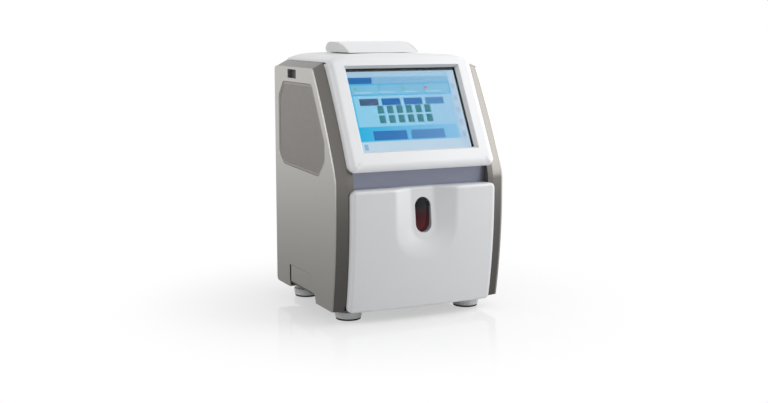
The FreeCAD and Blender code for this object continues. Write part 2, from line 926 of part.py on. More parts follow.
def door_section(inset, z):
    """Plan outline of the door at one height: a bulging front with rounded ends."""
    half = door_half - inset
    radius = door_edge_round - inset
    flat = half - radius
    front = front_at(z) - cover_proud + inset
    edge = front + door_crown * (flat / door_half) ** 2
    back = side_y + door_blank
    turn_x = flat + radius * diagonal_share
    turn_y = edge + radius * (1 - diagonal_share)
    side = edge + radius
    return Part.Wire([e.toShape() for e in (
        Part.LineSegment(Vector(-half, back, z), Vector(-half, side, z)),
        Part.Arc(Vector(-half, side, z), Vector(-turn_x, turn_y, z), Vector(-flat, edge, z)),
        Part.Arc(Vector(-flat, edge, z), Vector(0, front, z), Vector(flat, edge, z)),
        Part.Arc(Vector(flat, edge, z), Vector(turn_x, turn_y, z), Vector(half, side, z)),
        Part.LineSegment(Vector(half, side, z), Vector(half, back, z)),
        Part.LineSegment(Vector(half, back, z), Vector(-half, back, z)),
    )])


def door_bulk(inset):
    """Door face through plan outlines at several heights, upright from the shoulder up."""
    low_z = door_low_z / 2
    step = (straight_low_z - low_z) / door_steps
    sections = [door_section(inset, low_z + step * i) for i in range(door_steps + 1)]
    lower = Part.makeLoft(sections, True, False)
    upper = prism(sections[-1], Vector(0, 0, door_high_z + low_z - straight_low_z))
    return lower.fuse(upper)


def door_outline(inset):
    """Front view of the door, with rounded corners."""
    x = door_half - inset
    y = front_y - cut_over
    points = [Vector(-x, y, door_low_z + inset), Vector(x, y, door_low_z + inset),
              Vector(x, y, door_high_z - inset), Vector(-x, y, door_high_z - inset)]
    return prism(rounded_wire(points, [door_corner_round - inset] * len(points)),
                 Vector(0, door_blank, 0))


def rim_region(set_back):
    """Everything ahead of the door's rim, which follows the side outline."""
    ahead = door_rim_set - set_back
    x = half_width
    low = Vector(-x, y_on_circle(shin_circle, 0) - ahead, 0)
    shin = Vector(-x, front_at(shin_z) - ahead, shin_z)
    straight = Vector(-x, side_y - ahead, straight_low_z)
    high = Vector(-x, side_y - ahead, knee_mid_z)
    out_high = Vector(-x, front_y - cut_over * 2, knee_mid_z)
    out_low = Vector(-x, front_y - cut_over * 2, 0)
    wire = Part.Wire([
        Part.Arc(low, shin, straight).toShape(),
        Part.LineSegment(straight, high).toShape(),
        Part.LineSegment(high, out_high).toShape(),
        Part.LineSegment(out_high, out_low).toShape(),
        Part.LineSegment(out_low, low).toShape(),
    ])
    return prism(wire, Vector(overall_width, 0, 0))


scoop_high_z = door_high_z + cut_over * 2


def u_wire(half, low_z, low_y, high_y):
    """U outline of the scoop, in a plane that leans from low_y at its foot to high_y at its top."""
    centre_z = low_z + half

    def at(x, z):
        share = (z - low_z) / (scoop_high_z - low_z)
        return Vector(x, low_y + (high_y - low_y) * share, z)

    edges = [
        Part.LineSegment(at(-half, scoop_high_z), at(-half, centre_z)),
        Part.Arc(at(-half, centre_z), at(0, low_z), at(half, centre_z)),
        Part.LineSegment(at(half, centre_z), at(half, scoop_high_z)),
        Part.LineSegment(at(half, scoop_high_z), at(-half, scoop_high_z)),
    ]
    return Part.Wire([edge.toShape() for edge in edges])


def scoop_floor_y(z):
    """Y of the scoop's leaning floor at one height."""
    share = (z - scoop_floor_low_z) / (scoop_high_z - scoop_floor_low_z)
    return front_y + scoop_low_depth + (scoop_depth - scoop_low_depth) * share


def scoop(grow):
    """Hollow in the door round the sample port, grown by a wall for its inner side."""
    k = scoop_reach_share
    lip_low_y = front_at(scoop_low_z) - cover_proud
    lip_high_y = front_y + door_crown * (scoop_half / door_half) ** 2
    floor_low_y = scoop_floor_y(scoop_floor_low_z)
    floor_high_y = scoop_floor_y(scoop_high_z)
    front = u_wire(scoop_half + (scoop_half - scoop_floor_half) * k + grow,
                   scoop_low_z - (scoop_floor_low_z - scoop_low_z) * k - grow,
                   lip_low_y - (floor_low_y - lip_low_y) * k + grow,
                   lip_high_y - (floor_high_y - lip_high_y) * k + grow)
    back = u_wire(scoop_floor_half + grow, scoop_floor_low_z - grow,
                  floor_low_y + grow, floor_high_y + grow)
    return Part.makeLoft([front, back], True, True)


def oval(half_wide, half_tall, y0, y1, z):
    """Upright oval bar along Y."""
    straight = half_tall - half_wide
    low = Vector(-half_wide, y0, z - straight)
    high = Vector(-half_wide, y0, z + straight)
    low_right = Vector(half_wide, y0, z - straight)
    high_right = Vector(half_wide, y0, z + straight)
    wire = Part.Wire([
        Part.LineSegment(low, high).toShape(),
        Part.Arc(high, Vector(0, y0, z + half_tall), high_right).toShape(),
        Part.LineSegment(high_right, low_right).toShape(),
        Part.Arc(low_right, Vector(0, y0, z - half_tall), low).toShape(),
    ])
    return prism(wire, Vector(0, y1 - y0, 0))


flap_axis_z = port_z + port_half_height - flap_pin_drop
flap_floor_y = scoop_floor_y(flap_axis_z)
flap_axis_y = flap_floor_y + flap_pin_set


def hinge_knuckle(x):
    """Door knuckle between two ears of its bracket."""
    barrel = rod((x - knuckle_half, hinge_y, hinge_z), (1, 0, 0), knuckle_half * 2, knuckle_r)
    arm = box(x - knuckle_half, x + knuckle_half, front_y, hinge_y,
              door_low_z, hinge_z + knuckle_r)
    return barrel.fuse(arm)


def front_door():
    """Drop-down front door: a thin moulding with side flanges, scoop and hinge knuckles."""
    shape = door_bulk(0).common(door_outline(0))
    deep = box(-flange_x, flange_x, front_y - cut_over, door_back_y,
               door_flange_low_z, door_high_z)
    shape = shape.common(rim_region(0).fuse(deep))
    hollow = door_bulk(door_wall).common(door_outline(door_wall))
    inner_x = flange_x - liner_wall
    middle_room = box(-inner_x, inner_x, front_y, door_back_y + cut_over, 0, door_high_z)
    edge_room = box(flange_x, door_half, front_y, side_y + cover_proud * 2, 0, door_high_z)
    edge_room = edge_room.common(rim_region(cut_over))
    hollow = hollow.common(Part.makeCompound([middle_room, edge_room, mirrored(edge_room)]))
    body = shape.cut(scoop(0))
    shape = body.cut(hollow.cut(scoop(door_wall)))
    slot_half = knuckle_half + seat_gap + ear_wall + seat_gap
    for x in (-hinge_x, hinge_x):
        knuckle = hinge_knuckle(x)
        shape = shape.cut(box(x - slot_half, x + slot_half, hinge_y - ear_r - seat_gap * 2,
                              side_y + cover_proud * 2, 0, door_flange_low_z))
        arm_zone = box(x - knuckle_half, x + knuckle_half, front_y, 0, 0, overall_height)
        shape = shape.fuse(knuckle.common(body.common(arm_zone).fuse(
            box(x - knuckle_half, x + knuckle_half, side_y, 0, 0, overall_height))))
        shape = shape.cut(rod((x - slot_half, hinge_y, hinge_z), (1, 0, 0),
                              slot_half * 2, hinge_pin_r + run_gap))
    hole = oval(port_half_width + flap_gap, port_half_height + flap_gap,
                front_y, door_back_y, port_z)
    shape = shape.cut(hole)
    reach = port_half_width
    shape = shape.cut(rod((-reach, flap_axis_y, flap_axis_z), (1, 0, 0), reach * 2, flap_pin_r))
    return shape.removeSplitter()


def door_liner():
    """Inner panel of the door, with a window for the sample inlet."""
    x = flange_x - liner_wall - seat_gap
    plate = box(-x, x, door_back_y - liner_wall, door_back_y,
                hinge_z + ear_r + seat_gap * 2, door_high_z - door_wall - seat_gap)
    hole = oval(port_half_width + flap_gap, port_half_height + flap_gap,
                door_back_y - liner_wall - cut_over, door_back_y + cut_over, port_z)
    return plate.cut(hole)


def port_bezel():
    """Oval collar between the scoop's floor and the liner."""
    start = front_y + scoop_low_depth - cut_over
    outer = oval(port_half_width + flap_gap + port_ring_wall,
                 port_half_height + flap_gap + port_ring_wall,
                 start, door_back_y - liner_wall, port_z)
    inner = oval(port_half_width + flap_gap, port_half_height + flap_gap,
                 start - cut_over, door_back_y, port_z)
    return outer.cut(inner).cut(scoop(door_wall))


def sample_flap():
    """Dark lens over the sample port, domed both ways, with its hinge boss."""
    face_y = flap_floor_y - flap_depth / 2
    back_y = face_y + flap_depth
    bar = oval(port_half_width, port_half_height, face_y, back_y, port_z)
    tall = rod((-half_width, face_y + flap_bulge_tall, port_z), (1, 0, 0),
               overall_width, flap_bulge_tall)
    wide = rod((0, face_y + flap_bulge_wide, 0), (0, 0, 1), overall_height, flap_bulge_wide)
    lens = bar.common(wide).common(tall)
    boss_half = port_half_width / 2
    boss = rod((-boss_half, flap_axis_y, flap_axis_z), (1, 0, 0), boss_half * 2, flap_boss_r)
    behind = box(-half_width, half_width, back_y - flap_boss_bite, door_back_y, 0, overall_height)
    lens = lens.fuse(boss.common(behind))
    bore = rod((-half_width, flap_axis_y, flap_axis_z), (1, 0, 0), overall_width,
               flap_pin_r + run_gap)
    return lens.cut(bore)


def flap_pin():
    """Pin of the sample flap, held in the scoop's floor at both ends."""
    reach = port_half_width - cut_over / 2
    return rod((-reach, flap_axis_y, flap_axis_z), (1, 0, 0), reach * 2, flap_pin_r)


def hinge_brackets():
    """Two brackets under the base tray, each with two ears."""
    brackets = []
    for x in (-hinge_x, hinge_x):
        near = knuckle_half + seat_gap
        half = near + ear_wall
        plate = box(x - half, x + half, bracket_plate_y, bracket_plate_y + bracket_plate_depth,
                    tray_low_z - bracket_plate_wall, tray_low_z)
        shapes = [plate]
        for start in (x - half, x + near):
            ear = rod((start, hinge_y, hinge_z), (1, 0, 0), ear_wall, ear_r)
            arm = box(start, start + ear_wall, hinge_y, bracket_plate_y,
                      tray_low_z - bracket_plate_wall, tray_low_z)
            shapes += [ear, arm]
        bore = rod((x - half - cut_over, hinge_y, hinge_z), (1, 0, 0),
                   (half + cut_over) * 2, hinge_pin_r)
        brackets.append(join(shapes).cut(bore))
    return Part.makeCompound(brackets)


def hinge_pins():
    """Two door pins, pressed into the brackets' ears."""
    half = knuckle_half + seat_gap + ear_wall
    pins = [rod((x - half, hinge_y, hinge_z), (1, 0, 0), half * 2, hinge_pin_r)
            for x in (-hinge_x, hinge_x)]
    return Part.makeCompound(pins)


def base_tray():
    """Sheet tray that the modules stand on. Its left lip is cut for the drawer."""
    high = tray_low_z + tray_lip
    tray = box(-frame_x, frame_x, tray_front_y, tray_rear_y, tray_low_z, high)
    room = box(-frame_x + sheet, frame_x - sheet, tray_front_y - cut_over,
               tray_rear_y + cut_over, tray_low_z + sheet, high + cut_over)
    tray = tray.cut(room)
    guide_front = drawer_front_y + drawer_tray_inset - guide_wall * 2
    guide_rear = drawer_rear_y - drawer_rear_inset + guide_wall * 2
    notch = box(-frame_x - cut_over, -frame_x + sheet + cut_over, guide_front, guide_rear,
                sill_top_z - seat_gap, high + cut_over)
    return tray.cut(notch)


def feet():
    """Four levelling feet, each a tapered disc on a neck."""
    shapes = []
    for x in (-foot_x, foot_x):
        for y in (foot_front_y, foot_rear_y):
            disc = rod((x, y, pad_height), (0, 0, 1), foot_disc_z - pad_height - foot_taper, foot_r)
            taper = Part.makeCone(foot_r, foot_r - foot_taper, foot_taper,
                                  Vector(x, y, foot_disc_z - foot_taper))
            neck = rod((x, y, foot_disc_z - foot_taper), (0, 0, 1),
                       tray_low_z - foot_disc_z + foot_taper, foot_neck_r)
            shapes.append(join([disc, taper, neck]))
    return Part.makeCompound(shapes)


def foot_pads():
    """Four rubber pads under the feet."""
    pads = [rod((x, y, 0), (0, 0, 1), pad_height, pad_r)
            for x in (-foot_x, foot_x) for y in (foot_front_y, foot_rear_y)]
    return Part.makeCompound(pads)


bay_floor_z = tray_low_z + sheet
pack_floor_z = bay_floor_z + bay_wall
bay_back_y = bay_rear_y - bay_wall


def bay_liner():
    """Moulded lining of the reagent bay, open at the front, with a shelf."""
    shell = box(-bay_half, bay_half, bay_front_y, bay_rear_y, bay_floor_z, bay_high_z)
    room = box(-bay_half + bay_wall, bay_half - bay_wall, bay_front_y - cut_over, bay_back_y,
               pack_floor_z, bay_high_z - bay_wall)
    shell = shell.cut(room)
    shelf = box(fluid_right_x + seat_gap, bay_half - bay_wall, block_front_y, bay_back_y,
                shelf_z, shelf_z + shelf_wall)
    return shell.fuse(shelf).removeSplitter()


def cartridge(x0, x1, high_z, floor_z):
    """Consumable case with rounded upright edges and a finger recess in its front."""
    case = box(x0, x1, pack_front_y, bay_back_y - seat_gap, floor_z, high_z)
    case = fillet_where(case, pack_round, lambda e: e.BoundBox.ZLength > (high_z - floor_z) / 2)
    centre = (x0 + x1) / 2
    grip_half = (x1 - x0) * grip_width_share / 2
    grip = box(centre - grip_half, centre + grip_half, pack_front_y - cut_over,
               pack_front_y + grip_depth, high_z - grip_height - grip_margin / 2,
               high_z - grip_margin / 2)
    return case.cut(grip)


def measuring_block():
    """Heated block of the measuring chamber, with cooling grooves along its top."""
    block = box(-block_half, block_half, block_front_y, bay_back_y,
                shelf_z + shelf_wall, block_high_z)
    width = block_half / block_grooves
    grooves = [box(x, x + width, block_front_y - cut_over, bay_back_y + cut_over,
                   block_high_z - width, block_high_z + cut_over)
               for x in [-block_half + width * (2 * i + 1) for i in range(block_grooves)]]
    return block.cut(Part.makeCompound(grooves))


def sample_inlet():
    """Inlet cone on the measuring block, behind the sample flap."""
    length = block_front_y - inlet_flange - inlet_tip_y
    flange = rod((0, block_front_y - inlet_flange, port_z), (0, 1, 0), inlet_flange, inlet_base_r)
    cone = Part.makeCone(inlet_tip_r, inlet_base_r / 2, length,
                         Vector(0, inlet_tip_y, port_z), Vector(0, 1, 0))
    bore = rod((0, inlet_tip_y - cut_over, port_z), (0, 1, 0), length, inlet_bore_r)
    return flange.fuse(cone).cut(bore).removeSplitter()


def catch_magnets():
    """Two magnet catches under the bay's roof."""
    roof = bay_high_z - bay_wall
    blocks = [box(x - magnet_half, x + magnet_half, door_back_y + seat_gap,
                  door_back_y + seat_gap + magnet_depth, roof - magnet_height, roof)
              for x in (-magnet_x, magnet_x)]
    return Part.makeCompound(blocks)


def pump_centres():
    """Centre heights of the pumps."""
    return [pump_low_z, pump_low_z + pump_pitch]


def pump_housings():
    """Two pump heads on the bay's rear wall, each with a round race open to the front."""
    heads = []
    for z in pump_centres():
        head = box(pump_x - pump_half, pump_x + pump_half, pump_front_y, bay_back_y,
                   z - pump_half, z + pump_half)
        head = fillet_where(head, pack_round, lambda e: e.BoundBox.YLength > pump_half)
        race = rod((pump_x, pump_front_y - cut_over, z), (0, 1, 0),
                   pump_race_depth + cut_over, pump_race_r)
        bore = rod((pump_x, pump_front_y, z), (0, 1, 0),
                   pump_race_depth + rotor_shaft_length, rotor_shaft_r + run_gap)
        heads.append(head.cut(race).cut(bore))
    return Part.makeCompound(heads)


def pump_rotor(z):
    """Three-lobed rotor on its shaft."""
    y = pump_front_y + rotor_gap
    depth = pump_race_depth - rotor_gap * 2
    arm = rotor_r - rotor_lobe_r
    hub = rod((pump_x, y, z), (0, 1, 0), depth, arm)
    shapes = [hub]
    for i in range(rotor_lobes):
        angle = math.radians(90 + 360 / rotor_lobes * i)
        x = pump_x + arm * math.cos(angle)
        shapes.append(rod((x, y, z + arm * math.sin(angle)), (0, 1, 0), depth, rotor_lobe_r))
    shapes.append(rod((pump_x, y, z), (0, 1, 0), depth + rotor_shaft_length - rotor_gap,
                      rotor_shaft_r))
    return join(shapes)


def pump_motors():
    """Two motors behind the bay's rear wall."""
    motors = []
    for z in pump_centres():
        can = rod((pump_x, bay_rear_y, z), (0, 1, 0), motor_length, motor_r)
        cap = rod((pump_x, bay_rear_y, z), (0, 1, 0), motor_length + side_skin, motor_r / 2)
        motors.append(can.fuse(cap).removeSplitter())
    return Part.makeCompound(motors)


def valve_block():
    """Manifold with a row of solenoids."""
    y = bay_back_y - valve_depth
    block = box(pump_x - valve_half, pump_x + valve_half, y, bay_back_y,
                valve_low_z, valve_high_z)
    shapes = [block]
    step = valve_half * 2 / solenoid_count
    for i in range(solenoid_count):
        x = pump_x - valve_half + step * (i + 0.5)
        shapes.append(rod((x, y - solenoid_length, (valve_low_z + valve_high_z) / 2), (0, 1, 0),
                          solenoid_length, solenoid_r))
    return join(shapes)


def rear_wall():
    """Sheet wall at the rear, with openings for fan, mains and data sockets."""
    wall = box(-frame_x, frame_x, rear_wall_y, rear_wall_y + sheet, tray_low_z, rear_wall_high_z)
    y = rear_wall_y - cut_over
    depth = sheet + cut_over * 2
    wall = wall.cut(rod((fan_x, y, fan_z), (0, 1, 0), depth, fan_bore_r))
    for x, z in screw_places():
        wall = wall.cut(rod((x, y, z), (0, 1, 0), depth, screw_hole_r))
    return wall


def screw_places():
    """Where the rear cover's screws go."""
    return [(x, z) for x in (-post_x, post_x) for z in (post_low_z, post_high_z)]


def inner_cover_y():
    """Inside face of the rear cover's back."""
    return rear_y - rear_cover_wall


def rear_cover():
    """Rear cover: a shallow tub with vents, sockets' openings and screw posts."""
    front = side_rear_y + seat_gap
    cover = box(-rear_cover_half, rear_cover_half, front, rear_y, rear_cover_low_z, rear_cover_high_z)

    def outer_edge(edge):
        p = middle(edge)
        return p.y > front + cut_over

    cover = fillet_where(cover, rear_cover_round, outer_edge)
    wall = rear_cover_wall
    room = box(-rear_cover_half + wall, rear_cover_half - wall, front - cut_over, inner_cover_y(),
               rear_cover_low_z + wall, rear_cover_high_z - wall)

    def room_edge(edge):
        return middle(edge).y > front + cut_over

    room = fillet_where(room, rear_cover_round - wall, room_edge)
    cover = cover.cut(room)
    back = rear_wall_y + sheet + seat_gap
    for x, z in screw_places():
        post = rod((x, back, z), (0, 1, 0), inner_cover_y() - back + wall / 2, post_r)
        well = rod((x, back + screw_head, z), (0, 1, 0), rear_y - back, screw_head_r + run_gap)
        hole = rod((x, back - cut_over, z), (0, 1, 0), rear_y - back, screw_hole_r)
        cover = cover.fuse(post).cut(well).cut(hole)
    slots = []
    top = fan_z + rear_slot_pitch * (rear_slots - 1) / 2
    for i in range(rear_slots):
        z = top - rear_slot_pitch * i - rear_slot_height / 2
        slots.append(box(fan_x - rear_slot_width / 2, fan_x + rear_slot_width / 2,
                         inner_cover_y() - cut_over, rear_y + cut_over, z, z + rear_slot_height))
    cover = cover.cut(Part.makeCompound(slots))
    mains = box(inlet_x - socket_half, inlet_x + socket_half, inner_cover_y() - cut_over,
                rear_y + cut_over, inlet_z - socket_half_height, inlet_z + socket_half_height)
    switch = box(rocker_x - rocker_half - rocker_frame, rocker_x + rocker_half + rocker_frame,
                 inner_cover_y() - cut_over, rear_y + cut_over,
                 inlet_z - rocker_half_height - rocker_frame,
                 inlet_z + rocker_half_height + rocker_frame)
    data_right = data_left_x + data_step * (data_ports - 1)
    data = box(data_left_x - net_half - data_margin / 2, data_right + net_half + data_margin / 2,
               inner_cover_y() - cut_over, rear_y + cut_over,
               data_z - data_half_height, data_z + data_half_height)
    return cover.cut(mains).cut(switch).cut(data).removeSplitter()


def cover_screws():
    """Screws of the rear cover, one in each post."""
    y = rear_wall_y + sheet + seat_gap
    screws = []
    for x, z in screw_places():
        head = rod((x, y + screw_head, z), (0, 1, 0), screw_head, screw_head_r)
        shank = rod((x, y + screw_head - screw_length, z), (0, 1, 0), screw_length, screw_shank_r)
        screws.append(head.fuse(shank).removeSplitter())
    return Part.makeCompound(screws)


def main_board():
    """Main board on posts in front of the rear wall, with its larger components."""
    back = rear_wall_y - board_gap
    board = box(-board_half, board_half, back - board_wall, back, board_low_z, board_high_z)
    posts = [rod((x, back, z), (0, 1, 0), board_gap, board_post_r)
             for x in (-board_half + board_post_r * 2, board_half - board_post_r * 2)
             for z in (board_low_z + board_post_r * 2, board_high_z - board_post_r * 2)]
    low_z = board_low_z + chip_rise
    chips = []
    for i in range(chip_count):
        x = chip_pitch * (i - (chip_count - 1) / 2) - chip_width / 2
        chips.append(box(x, x + chip_width, back - board_wall - chip_depth, back - board_wall,
                         low_z, low_z + chip_width))
    return join([board] + posts + chips)


def power_supply():
    """Switched supply in a ventilated sheet case."""
    back = rear_wall_y - board_gap
    case = box(supply_left_x, supply_right_x, supply_front_y, back, bay_floor_z, supply_high_z)
    room = box(supply_left_x + sheet, supply_right_x - sheet, supply_front_y + sheet,
               back - sheet, bay_floor_z + sheet, supply_high_z - sheet)
    pitch = (supply_right_x - supply_left_x) / (supply_slots + 1)
    slots = []
    for i in range(supply_slots):
        x = supply_left_x + pitch * (i + 1)
        slots.append(box(x - supply_slot_width / 2, x + supply_slot_width / 2,
                         supply_front_y + supply_margin, back - supply_margin,
                         supply_high_z - sheet - cut_over, supply_high_z + cut_over))
    return case.cut(room).cut(Part.makeCompound(slots))


def fan_frame():
    """Square fan housing with a centre bearing on struts."""
    y = rear_wall_y - fan_depth
    frame = box(fan_x - fan_half, fan_x + fan_half, y, rear_wall_y,
                fan_z - fan_half, fan_z + fan_half)
    frame = fillet_where(frame, fan_strut, lambda e: e.BoundBox.YLength > fan_depth / 2)
    frame = frame.cut(rod((fan_x, y - cut_over, fan_z), (0, 1, 0), fan_depth + cut_over * 2,
                          fan_bore_r))
    bar_y = rear_wall_y - fan_strut
    shapes = [frame, rod((fan_x, bar_y, fan_z), (0, 1, 0), fan_strut, fan_hub_r)]
    for turn in range(fan_struts):
        strut = box(fan_x - fan_strut / 2, fan_x + fan_strut / 2, bar_y, rear_wall_y,
                    fan_z + fan_hub_r / 2, fan_z + fan_half - fan_strut / 2)
        strut.rotate(Vector(fan_x, 0, fan_z), Vector(0, 1, 0), 360 / fan_struts * turn)
        shapes.append(strut)
    bore = rod((fan_x, bar_y - cut_over, fan_z), (0, 1, 0), fan_strut + cut_over * 2,
               fan_shaft_r + run_gap)
    return join(shapes).cut(bore)


def fan_impeller():
    """Hub with twisted blades on a short shaft."""
    y = rear_wall_y - fan_depth + fan_strut / 2
    depth = fan_depth - fan_strut * 2
    hub = rod((fan_x, y, fan_z), (0, 1, 0), depth, fan_hub_r)
    shaft = rod((fan_x, y, fan_z), (0, 1, 0), depth + fan_shaft_reach, fan_shaft_r)
    blade_half = depth * fan_blade_share / 2
    blades = []
    for i in range(fan_blades):
        blade = box(-fan_blade_wall / 2, fan_blade_wall / 2, -blade_half, blade_half,
                    fan_hub_r - fan_blade_wall, fan_tip_r)
        blade.rotate(Vector(0, 0, 0), Vector(0, 0, 1), fan_blade_twist)
        blade.translate(Vector(fan_x, y + depth / 2, fan_z))
        blade.rotate(Vector(fan_x, 0, fan_z), Vector(0, 1, 0), 360 / fan_blades * i)
        blades.append(blade)
    return join([hub, shaft] + blades)


def power_inlet():
    """Mains inlet with three blades and the switch's frame, in one module."""
    gap = seat_gap
    inside = inner_cover_y()
    front = inside - socket_depth
    half = rocker_half + rocker_frame
    tall = rocker_half_height + rocker_frame
    flange = box(rocker_x - half - socket_flange, inlet_x + socket_half + socket_flange,
                 inside - socket_wall, inside,
                 inlet_z - tall - socket_flange, inlet_z + tall + socket_flange)
    body = box(inlet_x - socket_half + gap, inlet_x + socket_half - gap, front, rear_y,
               inlet_z - socket_half_height + gap, inlet_z + socket_half_height - gap)
    set_in = gap + socket_wall
    cavity = box(inlet_x - socket_half + set_in, inlet_x + socket_half - set_in,
                 front + socket_wall, rear_y + cut_over,
                 inlet_z - socket_half_height + set_in, inlet_z + socket_half_height - set_in)
    shapes = [flange.fuse(body).cut(cavity)]
    for step in (-1, 0, 1):
        x = inlet_x + pin_step * step
        z = inlet_z + (pin_rise if step == 0 else -pin_rise / 2)
        shapes.append(box(x - pin_half, x + pin_half, front, front + pin_length,
                          z - pin_rise, z + pin_rise))
    shapes.append(box(rocker_x - half + gap, rocker_x + half - gap, inside - rocker_depth, rear_y,
                      inlet_z - tall + gap, inlet_z + tall - gap))
    room = box(rocker_x - rocker_half - gap, rocker_x + rocker_half + gap,
               inside - rocker_depth + socket_wall, rear_y + cut_over,
               inlet_z - rocker_half_height - gap * 2, inlet_z + rocker_half_height + gap * 2)
    bore = rod((rocker_x - half + socket_wall / 2, rear_y - rocker_depth / 2, inlet_z), (1, 0, 0),
               half * 2 - socket_wall, rocker_shaft_r)
    return join(shapes).cut(room).cut(bore)


def power_rocker():
    """Rocker of the power switch, with its trunnion."""
    face = rear_y - run_gap
    key = box(rocker_x - rocker_half, rocker_x + rocker_half, face - rocker_key, face,
              inlet_z - rocker_half_height, inlet_z + rocker_half_height)
    centre = rear_y - rocker_depth / 2
    round_bar = rod((rocker_x - rocker_half, centre, inlet_z), (1, 0, 0), rocker_half * 2,
                    rocker_half_height)
    dish = rod((rocker_x - rocker_half - cut_over, face + rocker_r - socket_wall / 2, inlet_z),
               (1, 0, 0), (rocker_half + cut_over) * 2, rocker_r)
    key = key.common(round_bar).cut(dish)
    half = rocker_half + rocker_frame - socket_wall / 2
    trunnion = rod((rocker_x - half, centre, inlet_z), (1, 0, 0), half * 2, rocker_shaft_r - run_gap)
    return key.fuse(trunnion).removeSplitter()


def data_sockets():
    """Socket strip for data cables."""
    right = data_left_x + data_step * (data_ports - 1)
    gap = seat_gap
    left_edge = data_left_x - net_half - data_margin / 2
    right_edge = right + net_half + data_margin / 2
    strip = box(left_edge + gap, right_edge - gap, inner_cover_y() - data_depth, rear_y,
                data_z - data_half_height + gap, data_z + data_half_height - gap)
    lip = box(left_edge - socket_wall, right_edge + socket_wall,
              inner_cover_y() - socket_wall, inner_cover_y(),
              data_z - data_half_height - socket_wall, data_z + data_half_height + socket_wall)
    strip = strip.fuse(lip)
    for i in range(data_ports):
        x = data_left_x + data_step * i
        wide = net_half if i == 0 else usb_half
        tall = net_half_height if i == 0 else usb_half_height
        strip = strip.cut(box(x - wide, x + wide, inner_cover_y() - data_depth + socket_wall,
                              rear_y + cut_over, data_z - tall, data_z + tall))
    return strip


def latch_pocket():
    """Pocket behind the slider's window in the left side panel."""
    x = -panel_x
    y0 = latch_front_y - pocket_wall
    y1 = latch_rear_y + pocket_wall
    z0 = latch_low_z - pocket_wall
    z1 = latch_high_z + pocket_wall
    pocket = box(x, x + pocket_depth, y0, y1, z0, z1)
    room = box(x - cut_over, x + pocket_depth - pocket_wall, latch_front_y, latch_rear_y,
               latch_low_z, latch_high_z)
    return pocket.cut(room)


def panel_latch():
    """Slider that releases the left side panel."""
    x = -panel_x + pocket_depth - pocket_wall - seat_gap
    gap = seat_gap
    length = latch_rear_y - latch_front_y - latch_travel - gap * 2
    y0 = latch_front_y + gap
    plate = box(x - latch_wall, x, y0, y0 + length, latch_low_z + gap, latch_high_z - gap)
    ridges = []
    step = length / (latch_ridges + 1)
    for i in range(latch_ridges):
        y = y0 + step * (i + 1) - ridge_width / 2
        ridges.append(box(x - latch_wall - ridge_rise, x - latch_wall, y, y + ridge_width,
                          latch_low_z + ridge_margin, latch_high_z - ridge_margin))
    return join([plate] + ridges)


tray_front_edge = drawer_front_y + drawer_tray_inset
tray_rear_edge = drawer_rear_y - drawer_rear_inset
guide_top_z = sill_top_z + seat_gap + guide_wall


def drawer_guide():
    """Guide of the side drawer: a plate with side walls, on two legs."""
    x0 = -panel_x + guide_set
    x1 = drawer_inner_x + guide_reach
    y0 = tray_front_edge - seat_gap - guide_wall
    y1 = tray_rear_edge + seat_gap + guide_wall
    plate = box(x0, x1, y0, y1, guide_top_z - guide_wall, guide_top_z)
    shapes = [plate]
    for y in (y0, y1 - guide_wall):
        shapes.append(box(x0, x1, y, y + guide_wall, guide_top_z, guide_top_z + guide_rise))
        shapes.append(box(-frame_x + sheet * 2, x1, y, y + guide_wall,
                          bay_floor_z, guide_top_z - guide_wall))
    shapes.append(box(x1 - guide_wall, x1, y0, y1, guide_top_z, guide_top_z + guide_rise))
    return join(shapes)


def side_drawer():
    """Drawer front, flush in the left side panel, with its open tray behind."""
    gap = drawer_gap
    front = box(-half_width, -panel_x, drawer_front_y + gap, drawer_rear_y,
                grip_panel_z + gap, drawer_top_z - gap)
    low = guide_top_z + seat_gap
    tray = box(-panel_x, drawer_inner_x, tray_front_edge, tray_rear_edge, low, drawer_tray_top_z)
    room = box(-panel_x, drawer_inner_x - drawer_wall, tray_front_edge + drawer_wall,
               tray_rear_edge - drawer_wall, low + drawer_wall, drawer_tray_top_z + cut_over)
    tray = tray.cut(room)
    return front.fuse(tray).removeSplitter()


def printer_tub():
    """Tub of the printer under the top cover, with bearings and hinge ears."""
    tub = box(-tub_half, tub_half, tub_front_y, tub_rear_y, tub_low_z, tub_high_z)
    room = box(-tub_half + tub_wall, tub_half - tub_wall, tub_front_y + tub_wall,
               tub_rear_y - tub_wall, tub_low_z + tub_wall, tub_high_z + cut_over)
    tub = tub.cut(room)
    span = tub_half * 2 + cut_over
    tub = tub.cut(rod((-span / 2, platen_y, platen_z), (1, 0, 0), span, platen_shaft_r + run_gap))
    tub = tub.cut(rod((-span / 2, paper_y, paper_z), (1, 0, 0), span, spindle_r))
    shapes = [tub]
    for x in (-cover_ear_x - cover_ear_wall, cover_ear_x):
        leg = box(x, x + cover_ear_wall, tub_rear_y - tub_wall, cover_hinge_y,
                  tub_low_z + tub_wall, cover_hinge_z)
        leg = leg.common(box(x, x + cover_ear_wall, tub_rear_y - tub_wall,
                             cover_hinge_y, tub_high_z - ear_root, overall_height))
        ear = rod((x, cover_hinge_y, cover_hinge_z), (1, 0, 0), cover_ear_wall, cover_ear_r)
        bore = rod((x - cut_over, cover_hinge_y, cover_hinge_z), (1, 0, 0),
                   cover_ear_wall + cut_over * 2, cover_pin_r)
        shapes.append(leg.fuse(ear).cut(bore))
    return join(shapes)


paper_z = tub_low_z + tub_wall + paper_gap + paper_r


def paper_roll():
    """Roll of receipt paper."""
    outer = rod((-paper_half, paper_y, paper_z), (1, 0, 0), paper_half * 2, paper_r)
    return outer.cut(rod((-paper_half - cut_over, paper_y, paper_z), (1, 0, 0),
                         (paper_half + cut_over) * 2, core_r))


